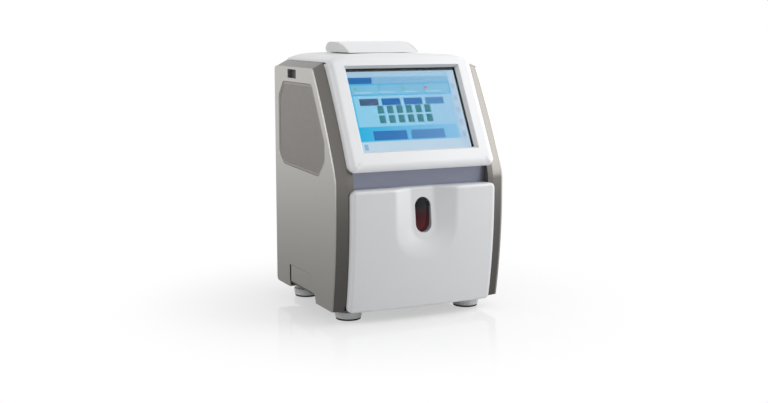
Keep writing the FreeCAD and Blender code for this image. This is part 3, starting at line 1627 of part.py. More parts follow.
def paper_core():
    """Tube at the roll's heart."""
    outer = rod((-paper_half, paper_y, paper_z), (1, 0, 0), paper_half * 2, core_r)
    return outer.cut(rod((-paper_half - cut_over, paper_y, paper_z), (1, 0, 0),
                         (paper_half + cut_over) * 2, spindle_r + run_gap))


def paper_spindle():
    """Spindle across the tub."""
    return rod((-tub_half, paper_y, paper_z), (1, 0, 0), tub_half * 2, spindle_r)


def platen_roller():
    """Rubber platen."""
    outer = rod((-platen_half, platen_y, platen_z), (1, 0, 0), platen_half * 2, platen_r)
    return outer.cut(rod((-platen_half - cut_over, platen_y, platen_z), (1, 0, 0),
                         (platen_half + cut_over) * 2, platen_shaft_r))


def platen_shaft():
    """Steel shaft of the platen, held in the tub's side walls."""
    return rod((-tub_half, platen_y, platen_z), (1, 0, 0), tub_half * 2, platen_shaft_r)


def gear(teeth, x, y, z, bore_r, phase):
    """Spur gear with tapered teeth, its width along X."""
    pitch_r = gear_module * teeth / 2
    tip_r = pitch_r + gear_module * tooth_height_share - gear_backlash * tip_clear_share
    root_r = pitch_r - gear_module * gear_root_share
    step = 2 * math.pi / teeth
    root = step * tooth_root_share
    tip = step * tooth_tip_share
    points = []
    for i in range(teeth):
        centre = step * (i + phase)
        for angle, radius in ((centre - root, root_r), (centre - tip, tip_r),
                              (centre + tip, tip_r), (centre + root, root_r)):
            points.append(Vector(x, y + radius * math.cos(angle), z + radius * math.sin(angle)))
    points.append(points[0])
    blank = prism(Part.makePolygon(points), Vector(gear_width, 0, 0))
    return blank.cut(rod((x - cut_over, y, z), (1, 0, 0), gear_width + cut_over * 2, bore_r))


gear_x = platen_half + seat_gap
gear_span = gear_module * (platen_teeth + pinion_teeth) / 2
pinion_z = platen_z - gear_span


def platen_gear():
    """Gear on the platen's right end."""
    return gear(platen_teeth, gear_x, platen_y, platen_z, platen_shaft_r, gear_phase)


def motor_pinion():
    """Motor pinion with its shaft."""
    wheel = gear(pinion_teeth, gear_x, platen_y, pinion_z, pinion_shaft_r / 2, gear_phase)
    shaft = rod((gear_x - pinion_reach, platen_y, pinion_z), (1, 0, 0),
                pinion_reach + gear_width, pinion_shaft_r)
    return wheel.fuse(shaft).removeSplitter()


def printer_motor():
    """Feed motor on a foot that stands on the tub's floor."""
    x1 = gear_x - seat_gap * 2
    x0 = x1 - printer_motor_length
    can = rod((x0, platen_y, pinion_z), (1, 0, 0), printer_motor_length, printer_motor_r)
    half = motor_foot_half
    foot = box(x0 + printer_motor_r, x0 + printer_motor_r + motor_foot, platen_y - half,
               platen_y + half, tub_low_z + tub_wall, pinion_z)
    bore = rod((x1 - printer_motor_length / 2, platen_y, pinion_z), (1, 0, 0),
               printer_motor_length, pinion_shaft_r + run_gap)
    return can.fuse(foot).cut(bore).removeSplitter()


def print_head():
    """Print head on its upright plate, just ahead of the platen."""
    y = platen_y - platen_r - head_gap - head_wall
    half = platen_half - head_margin
    return box(-half, half, y, y + head_wall, tub_low_z + tub_wall, platen_z + platen_r / 2)


def printer_profile(x, inset):
    """Side view of the printer's cover, its rear foot cut back so that it clears as it swings."""
    foot = printer_foot_z - (cut_over if inset else 0)
    rear_foot = printer_rear_foot_z - (cut_over if inset else 0)
    front = Vector(x, printer_front_y + inset, foot)
    brow = Vector(x, printer_brow_y + inset * printer_brow_share, printer_brow_z - inset)
    peak = Vector(x, printer_peak_y, overall_height - inset)
    back = Vector(x, printer_back_y, overall_height - inset)
    heel = Vector(x, printer_rear_y - inset, printer_heel_z)
    shoulder = Vector(x, (printer_back_y + printer_rear_y - inset) / 2 + printer_shoulder_out,
                      (overall_height - inset + printer_heel_z) / 2 + printer_shoulder_up)
    rear = Vector(x, printer_rear_y - inset, rear_foot)
    under = Vector(x, cover_hinge_y, foot)
    return Part.Wire([
        Part.Arc(front, brow, peak).toShape(),
        Part.LineSegment(peak, back).toShape(),
        Part.Arc(back, shoulder, heel).toShape(),
        Part.LineSegment(heel, rear).toShape(),
        Part.LineSegment(rear, under).toShape(),
        Part.LineSegment(under, front).toShape(),
    ])


def printer_cover():
    """Printer cover: a thin arched lid with two knuckles, notched at the hinge ears."""
    half = printer_half - printer_cap
    shell = prism(printer_profile(-half, 0), Vector(half * 2, 0, 0))
    room = prism(printer_profile(-half - cut_over, printer_wall), Vector((half + cut_over) * 2, 0, 0))
    shell = shell.cut(room)
    shapes = [shell]
    bores = []
    for side in (-1, 1):
        x = side * (cover_ear_x - seat_gap - cover_knuckle_length / 2)
        start = x - cover_knuckle_length / 2
        knuckle = rod((start, cover_hinge_y, cover_hinge_z), (1, 0, 0),
                      cover_knuckle_length, cover_ear_r)
        web = box(start, start + cover_knuckle_length, cover_hinge_y - cover_ear_r,
                  cover_hinge_y + web_over, cover_hinge_z, overall_height)
        shapes.append(knuckle)
        shapes.append(web.common(prism(printer_profile(-half, 0), Vector(half * 2, 0, 0))))
        bores.append(rod((start - cut_over, cover_hinge_y, cover_hinge_z), (1, 0, 0),
                         cover_knuckle_length + cut_over * 2, cover_pin_r + run_gap))
        ear_x = side * (cover_ear_x + cover_ear_wall / 2)
        half_ear = cover_ear_wall / 2 + seat_gap * 2
        bores.append(box(ear_x - half_ear, ear_x + half_ear, cover_hinge_y + cover_ear_r,
                         rear_y, crown_top_z, cover_hinge_z + seat_gap))
    return join(shapes).cut(Part.makeCompound(bores))


def printer_end_caps():
    """Two end plates of the printer's cover."""
    caps = []
    for x in (-printer_half, printer_half - printer_cap):
        caps.append(prism(printer_profile(x, 0), Vector(printer_cap, 0, 0)))
    return Part.makeCompound(caps)


def printer_hinge_pins():
    """Two pins of the printer's cover, held in the tub's ears."""
    pins = []
    length = cover_knuckle_length + seat_gap + cover_ear_wall
    for x in (-cover_ear_x - cover_ear_wall, cover_ear_x + cover_ear_wall - length):
        pins.append(rod((x, cover_hinge_y, cover_hinge_z), (1, 0, 0), length, cover_pin_r))
    return Part.makeCompound(pins)


right_frame = side_frame()
right_grille = vent_grille()
pieces["right_frame"] = right_frame
pieces["left_frame"] = mirrored(right_frame)
pieces["right_side_panel"] = side_panel()
pieces["vent_grilles"] = Part.makeCompound([mirrored(right_grille), right_grille])
pieces["left_side_panel"] = left_panel()
pieces["upper_cover"] = upper_cover()
pieces["touch_glass"] = touch_glass()
pieces["lcd_panel"] = lcd_panel()
pieces["display_bracket"] = display_bracket()
pieces["header_rail"] = header_rail()
pieces["recess_fascia"] = recess_fascia()
pieces["front_door"] = front_door()
pieces["door_liner"] = door_liner()
pieces["port_bezel"] = port_bezel()
pieces["sample_flap"] = sample_flap()
pieces["flap_pin"] = flap_pin()
pieces["hinge_brackets"] = hinge_brackets()
pieces["hinge_pins"] = hinge_pins()
pieces["base_tray"] = base_tray()
pieces["feet"] = feet()
pieces["foot_pads"] = foot_pads()
pieces["bay_liner"] = bay_liner()
pieces["fluid_pack"] = cartridge(fluid_left_x, fluid_right_x, fluid_high_z, pack_floor_z)
pieces["qc_pack"] = cartridge(qc_left_x, qc_right_x, qc_high_z, pack_floor_z)
pieces["sensor_cartridge"] = cartridge(cartridge_left_x, cartridge_right_x,
                                       cartridge_high_z, shelf_z + shelf_wall)
pieces["measuring_block"] = measuring_block()
pieces["sample_inlet"] = sample_inlet()
pieces["catch_magnets"] = catch_magnets()
pieces["pump_housings"] = pump_housings()
pieces["lower_pump_rotor"] = pump_rotor(pump_centres()[0])
pieces["upper_pump_rotor"] = pump_rotor(pump_centres()[1])
pieces["pump_motors"] = pump_motors()
pieces["valve_block"] = valve_block()
pieces["rear_wall"] = rear_wall()
pieces["rear_cover"] = rear_cover()
pieces["cover_screws"] = cover_screws()
pieces["main_board"] = main_board()
pieces["power_supply"] = power_supply()
pieces["fan_frame"] = fan_frame()
pieces["fan_impeller"] = fan_impeller()
pieces["power_inlet"] = power_inlet()
pieces["power_rocker"] = power_rocker()
pieces["data_sockets"] = data_sockets()
pieces["latch_pocket"] = latch_pocket()
pieces["panel_latch"] = panel_latch()
pieces["drawer_guide"] = drawer_guide()
pieces["side_drawer"] = side_drawer()
pieces["printer_tub"] = printer_tub()
pieces["paper_roll"] = paper_roll()
pieces["paper_core"] = paper_core()
pieces["paper_spindle"] = paper_spindle()
pieces["platen_roller"] = platen_roller()
pieces["platen_shaft"] = platen_shaft()
pieces["platen_gear"] = platen_gear()
pieces["motor_pinion"] = motor_pinion()
pieces["printer_motor"] = printer_motor()
pieces["print_head"] = print_head()
pieces["printer_cover"] = printer_cover()
pieces["printer_end_caps"] = printer_end_caps()
pieces["printer_hinge_pins"] = printer_hinge_pins()

for name, shape in pieces.items():
    print(name, len(shape.Solids), round(shape.Volume), shape.isValid())
    shape.exportStep("parts/" + name + ".step")
print(len(pieces), "nodes")
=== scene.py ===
# %% [markdown]
# A benchtop blood gas analyzer stands on a pale, slightly glossy table.
# Its construction comes packed from CAD as a fixed frame of named nodes that ride on bodies.
# This lesson dresses that frame: nodes whose shape is right get a finish, and those that the eye
# lingers on, such as the white cover, the front door and the display, are made again as smooth
# surfaces with numpy, in millimetres and in the CAD's own frame.

import bmesh
import bpy
import math
import numpy as np
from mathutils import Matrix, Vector


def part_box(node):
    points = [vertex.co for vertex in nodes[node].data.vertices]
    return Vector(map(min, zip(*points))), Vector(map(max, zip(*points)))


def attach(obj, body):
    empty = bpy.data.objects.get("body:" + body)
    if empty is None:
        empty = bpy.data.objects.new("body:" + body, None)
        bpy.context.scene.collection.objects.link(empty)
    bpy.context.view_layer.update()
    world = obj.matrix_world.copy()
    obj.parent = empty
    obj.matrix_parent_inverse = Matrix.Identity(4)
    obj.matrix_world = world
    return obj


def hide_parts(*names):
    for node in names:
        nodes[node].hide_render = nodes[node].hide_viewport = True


scene = bpy.context.scene
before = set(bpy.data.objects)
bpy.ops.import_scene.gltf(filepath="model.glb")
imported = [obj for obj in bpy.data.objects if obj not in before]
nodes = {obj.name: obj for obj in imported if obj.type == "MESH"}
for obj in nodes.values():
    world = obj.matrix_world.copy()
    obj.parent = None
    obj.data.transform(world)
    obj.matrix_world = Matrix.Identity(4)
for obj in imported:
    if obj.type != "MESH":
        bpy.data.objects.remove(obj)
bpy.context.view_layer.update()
mm = 0.001

# %% [markdown]
# The camera comes first, because every later choice is judged through it. It stands to the left
# of the instrument, a little above it and rather far off, so upright lines hardly converge. Its
# place and focal length were worked out from the instrument's corners in a view of 768 by 403
# pixels.

# %% Camera
picture_width, focal_pixels, sensor_width = 768, 1161.37, 36.0
camera_data = bpy.data.cameras.new("camera")
camera_data.sensor_width = sensor_width
camera_data.lens = focal_pixels / picture_width * sensor_width
camera = bpy.data.objects.new("camera", camera_data)
camera.location = (-0.89512, -1.88468, 0.50369)
camera.rotation_euler = (math.radians(81.2573), 0.0, math.radians(-25.35566))
scene.collection.objects.link(camera)
scene.camera = camera
scene.view_settings.view_transform = "Standard"
print("focal length in mm", round(camera_data.lens, 2))

# %% [markdown]
# A few small tools come first. They turn a written colour into the linear numbers that the shader
# expects, add a node with its settings and links, and open a material. The rest add what nearly
# every finish has: a noise, a tint between two colours, a gloss that varies, and a relief.

# %% Tools for finishes
finish = {}


def linear(colour):
    """sRGB hex to linear, and opaque."""
    parts = [int(colour[i:i + 2], 16) / 255 for i in (1, 3, 5)]
    return tuple(c / 12.92 if c < 0.04045 else ((c + 0.055) / 1.055) ** 2.4 for c in parts) + (1.0,)


def add(tree, kind, options=None, values=None, links=None):
    """Adds one node, sets its options and input values, and joins outputs to its other inputs."""
    node = tree.nodes.new("ShaderNode" + kind)
    for name, option in (options or {}).items():
        setattr(node, name, option)
    for socket, value in (values or {}).items():
        node.inputs[socket].default_value = value
    for socket, source in (links or {}).items():
        tree.links.new(source, node.inputs[socket])
    return node


def open_finish(name, constants):
    """Makes a material with constants on its shader's own sockets. Returns its tree, its shader and
    the place of each point in object coordinates."""
    finish[name] = bpy.data.materials.new(name)
    finish[name].use_nodes = True
    tree = finish[name].node_tree
    shader = tree.nodes["Principled BSDF"]
    for socket, value in constants.items():
        shader.inputs[socket].default_value = value
    return tree, shader, add(tree, "TexCoord").outputs["Object"]


def noise(tree, place, size, detail=2.0):
    """A noise from 0 to 1 with blotches of one size in mm."""
    return add(tree, "TexNoise", None, {"Scale": 1 / (size * mm), "Detail": detail},
               {"Vector": place}).outputs[0]


def stretched_noise(tree, place, sizes, detail=3.0):
    """A noise from 0 to 1 with blotches of three sizes in mm, along x, y and z."""
    stretched = add(tree, "Mapping", None, {"Scale": [1 / (size * mm) for size in sizes]},
                    {"Vector": place})
    return add(tree, "TexNoise", None, {"Scale": 1.0, "Detail": detail},
               {"Vector": stretched.outputs[0]}).outputs[0]


def ranged(tree, value, low, high, start=0.0, end=1.0, shape="LINEAR"):
    """Carries a value from the range start to end into the range low to high."""
    return add(tree, "MapRange", {"interpolation_type": shape},
               {"From Min": start, "From Max": end, "To Min": low, "To Max": high},
               {"Value": value}).outputs[0]


def set_tint(tree, shader, colour, shade, share):
    """Base colour between two written colours; 6 and 7 are the mix node's colour sockets."""
    tint = add(tree, "Mix", {"data_type": "RGBA"},
               {6: linear(colour), 7: linear(shade)}, {0: share})
    tree.links.new(tint.outputs[2], shader.inputs["Base Color"])


def set_gloss(tree, shader, low, high, share):
    """Roughness between two values."""
    tree.links.new(ranged(tree, share, low, high), shader.inputs["Roughness"])


def set_relief(tree, shader, height, depth, strength=0.5):
    """Bump with a depth in mm."""
    bump = add(tree, "Bump", None,
               {"Strength": strength, "Distance": depth * mm}, {"Height": height})
    tree.links.new(bump.outputs[0], shader.inputs["Normal"])


print("mid grey is", round(linear("#808080")[0], 3), "in linear numbers")

# %% [markdown]
# Moulded plastic takes its skin from the polished or spark-eroded tool, smooth or finely pebbled,
# and its colour drifts very slightly where the melt flowed. Two noises do that: a wide one for the
# tint and for how glossy a spot is, and a fine one for the pebbles.

# %% Moulded plastics
def moulded(name, colour, shade, roughness, grain, depth, drift=60.0, spread=0.05):
    """Plastic between two close tints. Grain and depth in mm are those of its pebbles, drift is how
    wide its blotches are, and spread how far its roughness varies."""
    tree, shader, place = open_finish(name, {})
    wide = noise(tree, place, drift, 3.0)
    set_tint(tree, shader, colour, shade, wide)
    set_gloss(tree, shader, roughness - spread, roughness + spread, wide)
    set_relief(tree, shader, noise(tree, place, grain), depth)


plastics = {
    "abs_white_satin": ("#EFF0F2", "#EBECEE", 0.34, 0.4, 0.006, 120.0),
    "abs_door_grey": ("#E2E3E5", "#DFE0E2", 0.38, 0.4, 0.008, 120.0),
    # painted shade: the window's bevel is the same white moulding as the cover, given a greyer tint
    # for the shade that falls in its recess
    "abs_window_bevel": ("#DCDEDF", "#D4D6D8", 0.42, 0.4, 0.006),
    "abs_cap_grey": ("#E4E5E2", "#DDDEDB", 0.42, 0.5, 0.012),
    "abs_rear_grey": ("#D6D7D9", "#CFD0D3", 0.5, 0.9, 0.04),
    "abs_bay_grey": ("#D2D4D6", "#CBCDD0", 0.5, 0.8, 0.03),
    "abs_slider_grey": ("#6E6E6F", "#666667", 0.45, 0.6, 0.02),
    "abs_foot_grey": ("#ECEDED", "#E3E4E4", 0.4, 0.7, 0.02, 25.0),
    "abs_black_satin": ("#1B1B1D", "#232325", 0.42, 0.7, 0.03, 30.0),
    "pom_rotor_white": ("#EEEDE6", "#E6E5DD", 0.35, 0.6, 0.01, 15.0),
    "pom_gear_cream": ("#E2DCC8", "#D8D1BC", 0.4, 0.5, 0.01, 12.0),
    "pc_pump_charcoal": ("#3A3C42", "#44464D", 0.4, 0.7, 0.02, 20.0),
    "pp_pack_blue": ("#4373AE", "#3B69A2", 0.42, 0.9, 0.03, 50.0),
    "pp_pack_white": ("#E6E6E1", "#DDDDD8", 0.45, 0.9, 0.03, 50.0),
    "pp_cartridge_green": ("#4F8A6C", "#467E61", 0.42, 0.9, 0.03, 40.0),
    "peek_valve_amber": ("#D8C69A", "#CDB985", 0.42, 0.6, 0.02, 20.0),
    "nitrile_rubber_black": ("#171717", "#222222", 0.75, 1.2, 0.08, 12.0, 0.08),
    "card_core_brown": ("#A08A6A", "#8E7957", 0.85, 1.5, 0.12, 8.0),
}
for name, values in plastics.items():
    moulded(name, *values)
print("plastics", len(finish))

# %% [markdown]
# Metals are told apart by what was done to them last. Brushing leaves long fine lines, rolling
# and zinc plating soft clouds, and grinding short lines round a shaft. One stretched noise gives
# all of these. Real brushed lines are far under a pixel wide, so they are drawn coarser. Metallic
# paint is a little less than fully metallic, because its flakes lie in a clear binder.

# %% Metals
def worked_metal(name, colour, shade, roughness, sizes, depth=0.01, spread=0.08, metallic=1.0):
    """Metal with marks of three sizes in mm, along x, y and z, shown in tint, gloss and height."""
    tree, shader, place = open_finish(name, {"Metallic": metallic})
    marks = stretched_noise(tree, place, sizes)
    set_tint(tree, shader, colour, shade, marks)
    set_gloss(tree, shader, roughness - spread, roughness + spread, marks)
    set_relief(tree, shader, marks, depth)


metals = {
    "metallic_paint_silver": ("#C2C0BB", "#B6B4AF", 0.34, (0.8, 0.8, 0.8), 0.003, 0.05, 0.82),
    "metallic_paint_bronze": ("#76736F", "#6C6966", 0.32, (0.8, 0.8, 0.8), 0.003, 0.05, 0.75),
    "perforated_steel_bronze": ("#A19D99", "#959190", 0.46, (0.9, 0.9, 0.9), 0.004, 0.05, 0.8),
    "anodised_fascia_blue": ("#9195A5", "#828698", 0.34, (30.0, 30.0, 0.5), 0.006, 0.06, 0.85),
    "zinc_plated_sheet": ("#C3C4C4", "#ADAFB0", 0.38, (9.0, 9.0, 9.0), 0.01, 0.1),
    "ground_steel": ("#B4B4B6", "#A2A2A5", 0.26, (0.5, 12.0, 12.0), 0.004),
    "nickel_magnet": ("#A9A7A2", "#98958F", 0.22, (4.0, 4.0, 4.0), 0.004),
    "milled_aluminium": ("#C5C7CA", "#B4B6BA", 0.3, (14.0, 0.7, 0.7), 0.012),
    "motor_can_steel": ("#8C8E92", "#7F8185", 0.32, (6.0, 0.6, 6.0), 0.006),
    "folded_case_aluminium": ("#B5B6B8", "#A6A7A9", 0.4, (25.0, 0.6, 25.0), 0.008),
}
for name, values in metals.items():
    worked_metal(name, *values)
print("finishes", len(finish))

# %% [markdown]
# Some pieces need a finish of their own: green lacquer over a board's copper tracks, matt paper
# with a faint fibre, and a lens that is smoked at its top and dark red below. The touch glass has
# a coat that cancels nearly all of its mirror image. It is written as a low IOR, so the display
# stays clear.

# %% Board, paper, glass and lens
def lacquered_board():
    """Green lacquer whose tint follows a brick pattern of 2.5 mm tracks, 0.05 mm proud."""
    tree, shader, place = open_finish("lacquered_board_green", {"Roughness": 0.3})
    turned = add(tree, "Mapping", None,
                 {"Rotation": (math.radians(90), 0, 0), "Scale": (1 / mm,) * 3}, {"Vector": place})
    tracks = add(tree, "TexBrick", {"offset": 0.37}, {
        "Color1": linear("#1E6B45"), "Color2": linear("#23764E"), "Mortar": linear("#124A2E"),
        "Scale": 0.2, "Mortar Size": 0.06, "Brick Width": 2.6, "Row Height": 0.5},
        {"Vector": turned.outputs[0]})
    tree.links.new(tracks.outputs[0], shader.inputs["Base Color"])
    set_relief(tree, shader, tracks.outputs[1], 0.05, 0.6)


def clear_finish(name, tint, roughness, ior, transmission, mirror=0.5, spread=0.03):
    """Clear glass or acrylic, a little uneven in its gloss; mirror is how much it reflects."""
    tree, shader, place = open_finish(name, {
        "IOR": ior, "Transmission Weight": transmission, "Base Color": linear(tint),
        "Specular IOR Level": mirror})
    set_gloss(tree, shader, roughness, roughness + spread, noise(tree, place, 35.0, 3.0))


def smoked_lens(red_z=150.0, black_z=196.0):
    """Polycarbonate that goes from dark red at the port's foot to near black towards its top."""
    tree, shader, place = open_finish(
        "smoked_polycarbonate_lens", {"Specular IOR Level": 0.22, "IOR": 1.58})
    height = add(tree, "SeparateXYZ", None, None, {"Vector": place}).outputs["Z"]
    share = ranged(tree, height, 0.0, 1.0, red_z * mm, black_z * mm)
    tint = add(tree, "ValToRGB", None, None, {"Fac": share})
    for stop, colour in zip(tint.color_ramp.elements, ("#6E2A33", "#0D1016")):
        stop.color = linear(colour)
    tree.links.new(tint.outputs[0], shader.inputs["Base Color"])
    set_gloss(tree, shader, 0.06, 0.14, noise(tree, place, 12.0))


def receipt_paper():
    """Thermal paper: matt white with fibres 2 mm long round the roll."""
    tree, shader, place = open_finish("thermal_paper_white", {"Sheen Weight": 0.1})
    fibres = stretched_noise(tree, place, (0.5, 2.0, 2.0), 4.0)
    set_tint(tree, shader, "#F4F4EF", "#E9E9E2", fibres)
    set_gloss(tree, shader, 0.6, 0.8, fibres)


lacquered_board()
clear_finish("coated_float_glass", "#FBFDFC", 0.0, 1.08, 1.0, 0.0, 0.001)
clear_finish("clear_acrylic", "#E6EEF2", 0.04, 1.49, 0.85)
smoked_lens()
receipt_paper()
print("finishes", len(finish))

# %% [markdown]
# Every node of the frame now gets the finish of what it is made of on the real instrument.
# Nodes that are made again further down are dressed too, but are hidden in the end.

# %% Dress the nodes
dress = {
    "metallic_paint_silver": "left_side_panel right_side_panel side_drawer",
    "metallic_paint_bronze": "left_frame right_frame",
    "perforated_steel_bronze": "vent_grilles",
    "abs_white_satin": "upper_cover printer_cover",
    "abs_door_grey": "front_door",
    "abs_cap_grey": "printer_end_caps",
    "coated_float_glass": "touch_glass",
    "abs_black_satin":
        "lcd_panel fan_frame fan_impeller data_sockets power_inlet power_rocker platen_roller",
    "zinc_plated_sheet":
        "display_bracket header_rail hinge_brackets base_tray rear_wall drawer_guide",
    "anodised_fascia_blue": "recess_fascia",
    "ground_steel":
        "hinge_pins flap_pin paper_spindle platen_shaft printer_hinge_pins cover_screws",
    "abs_foot_grey": "feet",
    "nitrile_rubber_black": "foot_pads",
    "abs_bay_grey": "bay_liner door_liner port_bezel printer_tub",
    "pp_pack_blue": "fluid_pack",
    "pp_pack_white": "qc_pack",
    "pp_cartridge_green": "sensor_cartridge",
    "milled_aluminium": "measuring_block print_head",
    "clear_acrylic": "sample_inlet",
    "nickel_magnet": "catch_magnets",
    "pc_pump_charcoal": "pump_housings",
    "pom_rotor_white": "lower_pump_rotor upper_pump_rotor",
    "motor_can_steel": "pump_motors printer_motor",
    "peek_valve_amber": "valve_block",
    "abs_rear_grey": "rear_cover",
    "lacquered_board_green": "main_board",
    "folded_case_aluminium": "power_supply",
    "abs_slider_grey": "latch_pocket panel_latch",
    "thermal_paper_white": "paper_roll",
    "card_core_brown": "paper_core",
    "pom_gear_cream": "platen_gear motor_pinion",
    "smoked_polycarbonate_lens": "sample_flap",
}
worn = {node: finish_name for finish_name, names in dress.items() for node in names.split()}
for node, finish_name in worn.items():
    nodes[node].data.materials.clear()
    nodes[node].data.materials.append(finish[finish_name])
print("dressed", len(worn), "still bare", sorted(set(nodes) - set(worn)))

# %% [markdown]
# New pieces are surfaces on grids. A grid of points becomes faces by numbering its cells, two
# skins with the same cells become one closed wall, and each piece is an object at the origin with
# its place in its mesh.

# %% Tools for surfaces
def cells(rows, columns, closed=False):
    """The four corner numbers of every cell of a grid whose points are counted row by row. A closed
    grid's last column is joined to its first."""
    across = np.arange(columns if closed else columns - 1)
    i, j = np.meshgrid(np.arange(rows - 1), across, indexing="ij")
    row, next_row, k = i * columns, (i + 1) * columns, (j + 1) % columns
    return np.stack([row + j, next_row + j, next_row + k, row + k], -1).reshape(-1, 4)


def weld(points, faces):
    """Gives points that agree to 0.0001 mm one number; points may carry more than three columns."""
    _, first, number = np.unique(
        np.round(points, 4), axis=0, return_index=True, return_inverse=True)
    return points[first], number.reshape(-1)[faces]


def closed_wall(outer, inner, faces):
    """Two skins with the same faces make one wall: the inner one is turned round, and each edge
    that only one face uses gets a strip between the skins."""
    pairs, faces = weld(np.hstack([outer, inner]), faces)
    edges = np.stack([faces, np.roll(faces, -1, axis=1)], -1).reshape(-1, 2)
    _, first, count = np.unique(
        np.sort(edges, axis=1), axis=0, return_index=True, return_counts=True)
    rim = edges[first[count == 1]]
    strip = np.hstack([rim[:, ::-1], rim + len(pairs)])
    points = np.vstack([pairs[:, :3], pairs[:, 3:]])
    return points, np.vstack([faces, faces[:, ::-1] + len(pairs), strip])


def piece_of(mesh, finishes, body, replaced, sharp):
    """An object at the origin that rides on a body and replaces a CAD node, smooth but for edges
    that turn by more than so many degrees."""
    for finish_name in finishes.split():
        mesh.materials.append(finish[finish_name])
    mesh.shade_smooth()
    mesh.set_sharp_from_angle(angle=math.radians(sharp))
    piece = bpy.data.objects.new(mesh.name, mesh)
    scene.collection.objects.link(piece)
    if body:
        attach(piece, body)
    if replaced:
        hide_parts(replaced)
    return piece


def make(name, points, faces, finishes, body=None, replaced=None, sharp=32.0, which=None):
    """An object from points in mm and faces; which picks a finish for each face by number."""
    mesh = bpy.data.meshes.new(name)
    mesh.from_pydata((np.asarray(points) * mm).tolist(), [], [list(face) for face in faces])
    piece = piece_of(mesh, finishes, body, replaced, sharp)
    if which is not None:
        mesh.polygons.foreach_set("material_index", np.asarray(which, dtype=np.int32))
    return piece


def row_of(x, y, z):
    """Points from their coordinates, each an array or one number for the whole row."""
    return np.stack(np.broadcast_arrays(x, y, z), -1)


def circle_through(p, q, r):
    """Centre and radius of the circle through three points of a plane, from two bisectors."""
    p, q, r = (np.asarray(v, float) for v in (p, q, r))
    lines = 2 * np.array([q - p, r - p])
    centre = np.linalg.solve(lines, [q @ q - p @ p, r @ r - p @ p])
    return centre, np.linalg.norm(p - centre)


def facing(turn):
    """Directions at angles in radians."""
    return np.stack([np.cos(turn), np.sin(turn)], -1)


def bearing(x, y):
    """Angle of a direction in degrees."""
    return math.degrees(math.atan2(y, x))


def unit(ways):
    """Directions made one long."""
    return ways / np.linalg.norm(ways, axis=-1, keepdims=True)


def arc(centre, radius, start, end, count):
    """Points of an arc between two angles in degrees, with their outward directions."""
    away = facing(np.radians(np.linspace(start, end, count)))
    return np.asarray(centre) + radius * away, away


def lengths(points):
    """How far along a line each of its points lies."""
    return np.concatenate([[0], np.cumsum(np.linalg.norm(np.diff(points, axis=0), axis=1))])


print("a grid of 3 by 4 points has", len(cells(3, 4)), "cells")

# %% [markdown]
# Seen from the side, the instrument's front is one flowing line: a slightly curved shin, a short
# straight, a knee and a long slope up to the top. Door, cover and frames all keep to that line,
# so one function gives its depth at any height.

# %% The side line
straight_y, straight_low, straight_high = -145.0, 200.0, 236.0
knee_top = (-131.3, 277.0)
shin = ((-128.0, 22.0), (-140.2, 105.0), (straight_y, straight_low))
knee = ((straight_y, straight_high), (-139.2, 260.0), knee_top)
slope = (knee_top, (-99.2, 340.0), (-46.5, 427.0))


def side_line(z):
    """Depth y of the front line at height z. Shin, knee and slope are circles, each through three
    points (y, z)."""
    z = np.asarray(z, float)

    def on(points):
        (y0, z0), radius = circle_through(*points)
        side = -1.0 if y0 > points[0][0] else 1.0
        return y0 + side * np.sqrt(np.maximum(radius ** 2 - (z - z0) ** 2, 0))
    bent = np.where(z < knee_top[1], on(knee), on(slope))
    return np.where(z < straight_low, on(shin), np.where(z < straight_high, straight_y, bent))


print("side line at 100, 220 and 340 mm:", np.round(side_line([100, 220, 340]), 1))

# %% [markdown]
# The white cover is one moulding: a tilted face with the display's window, side walls that run
# back to the frames, and a gently crowned top with an opening for the printer. A box with bevelled
# edges would miss its even, rolling edge, so a ball that touches the tilted face and the wall
# behind it is swept along the outline. Two such skins, 3 mm apart, make the wall.

# %% Outline of the cover's face
front_y, cover_foot, cover_half = -165.0, 258.7, 136.6
tilt = 0.549              # how far the face leans back, as a share of its rise
slope_length = math.hypot(1, tilt)
up_face = np.array([0, tilt, 1]) / slope_length
out_face = np.array([0, -1, tilt]) / slope_length
foot_of_face = np.array([0, front_y, cover_foot])
frame_top, frame_inner = 437.35, 127.7
crown_top, crown_end, crown_turn, crown_side = 451.0, (95.0, 448.8), (120.0, 444.6), 438.8
opening_half, opening_front, opening_rear = 62.4, 13.6, 109.4
shoulder_round, corner_round = 10.0, 14.0


def on_face(x, along, depth):
    """Point of the tilted face: x across, along its slope from the foot line, depth behind it."""
    x, along, depth = np.broadcast_arrays(*(np.asarray(v, float) for v in (x, along, depth)))
    across = np.stack([x, 0 * x, 0 * x], -1)
    return foot_of_face + across + along[..., None] * up_face - depth[..., None] * out_face


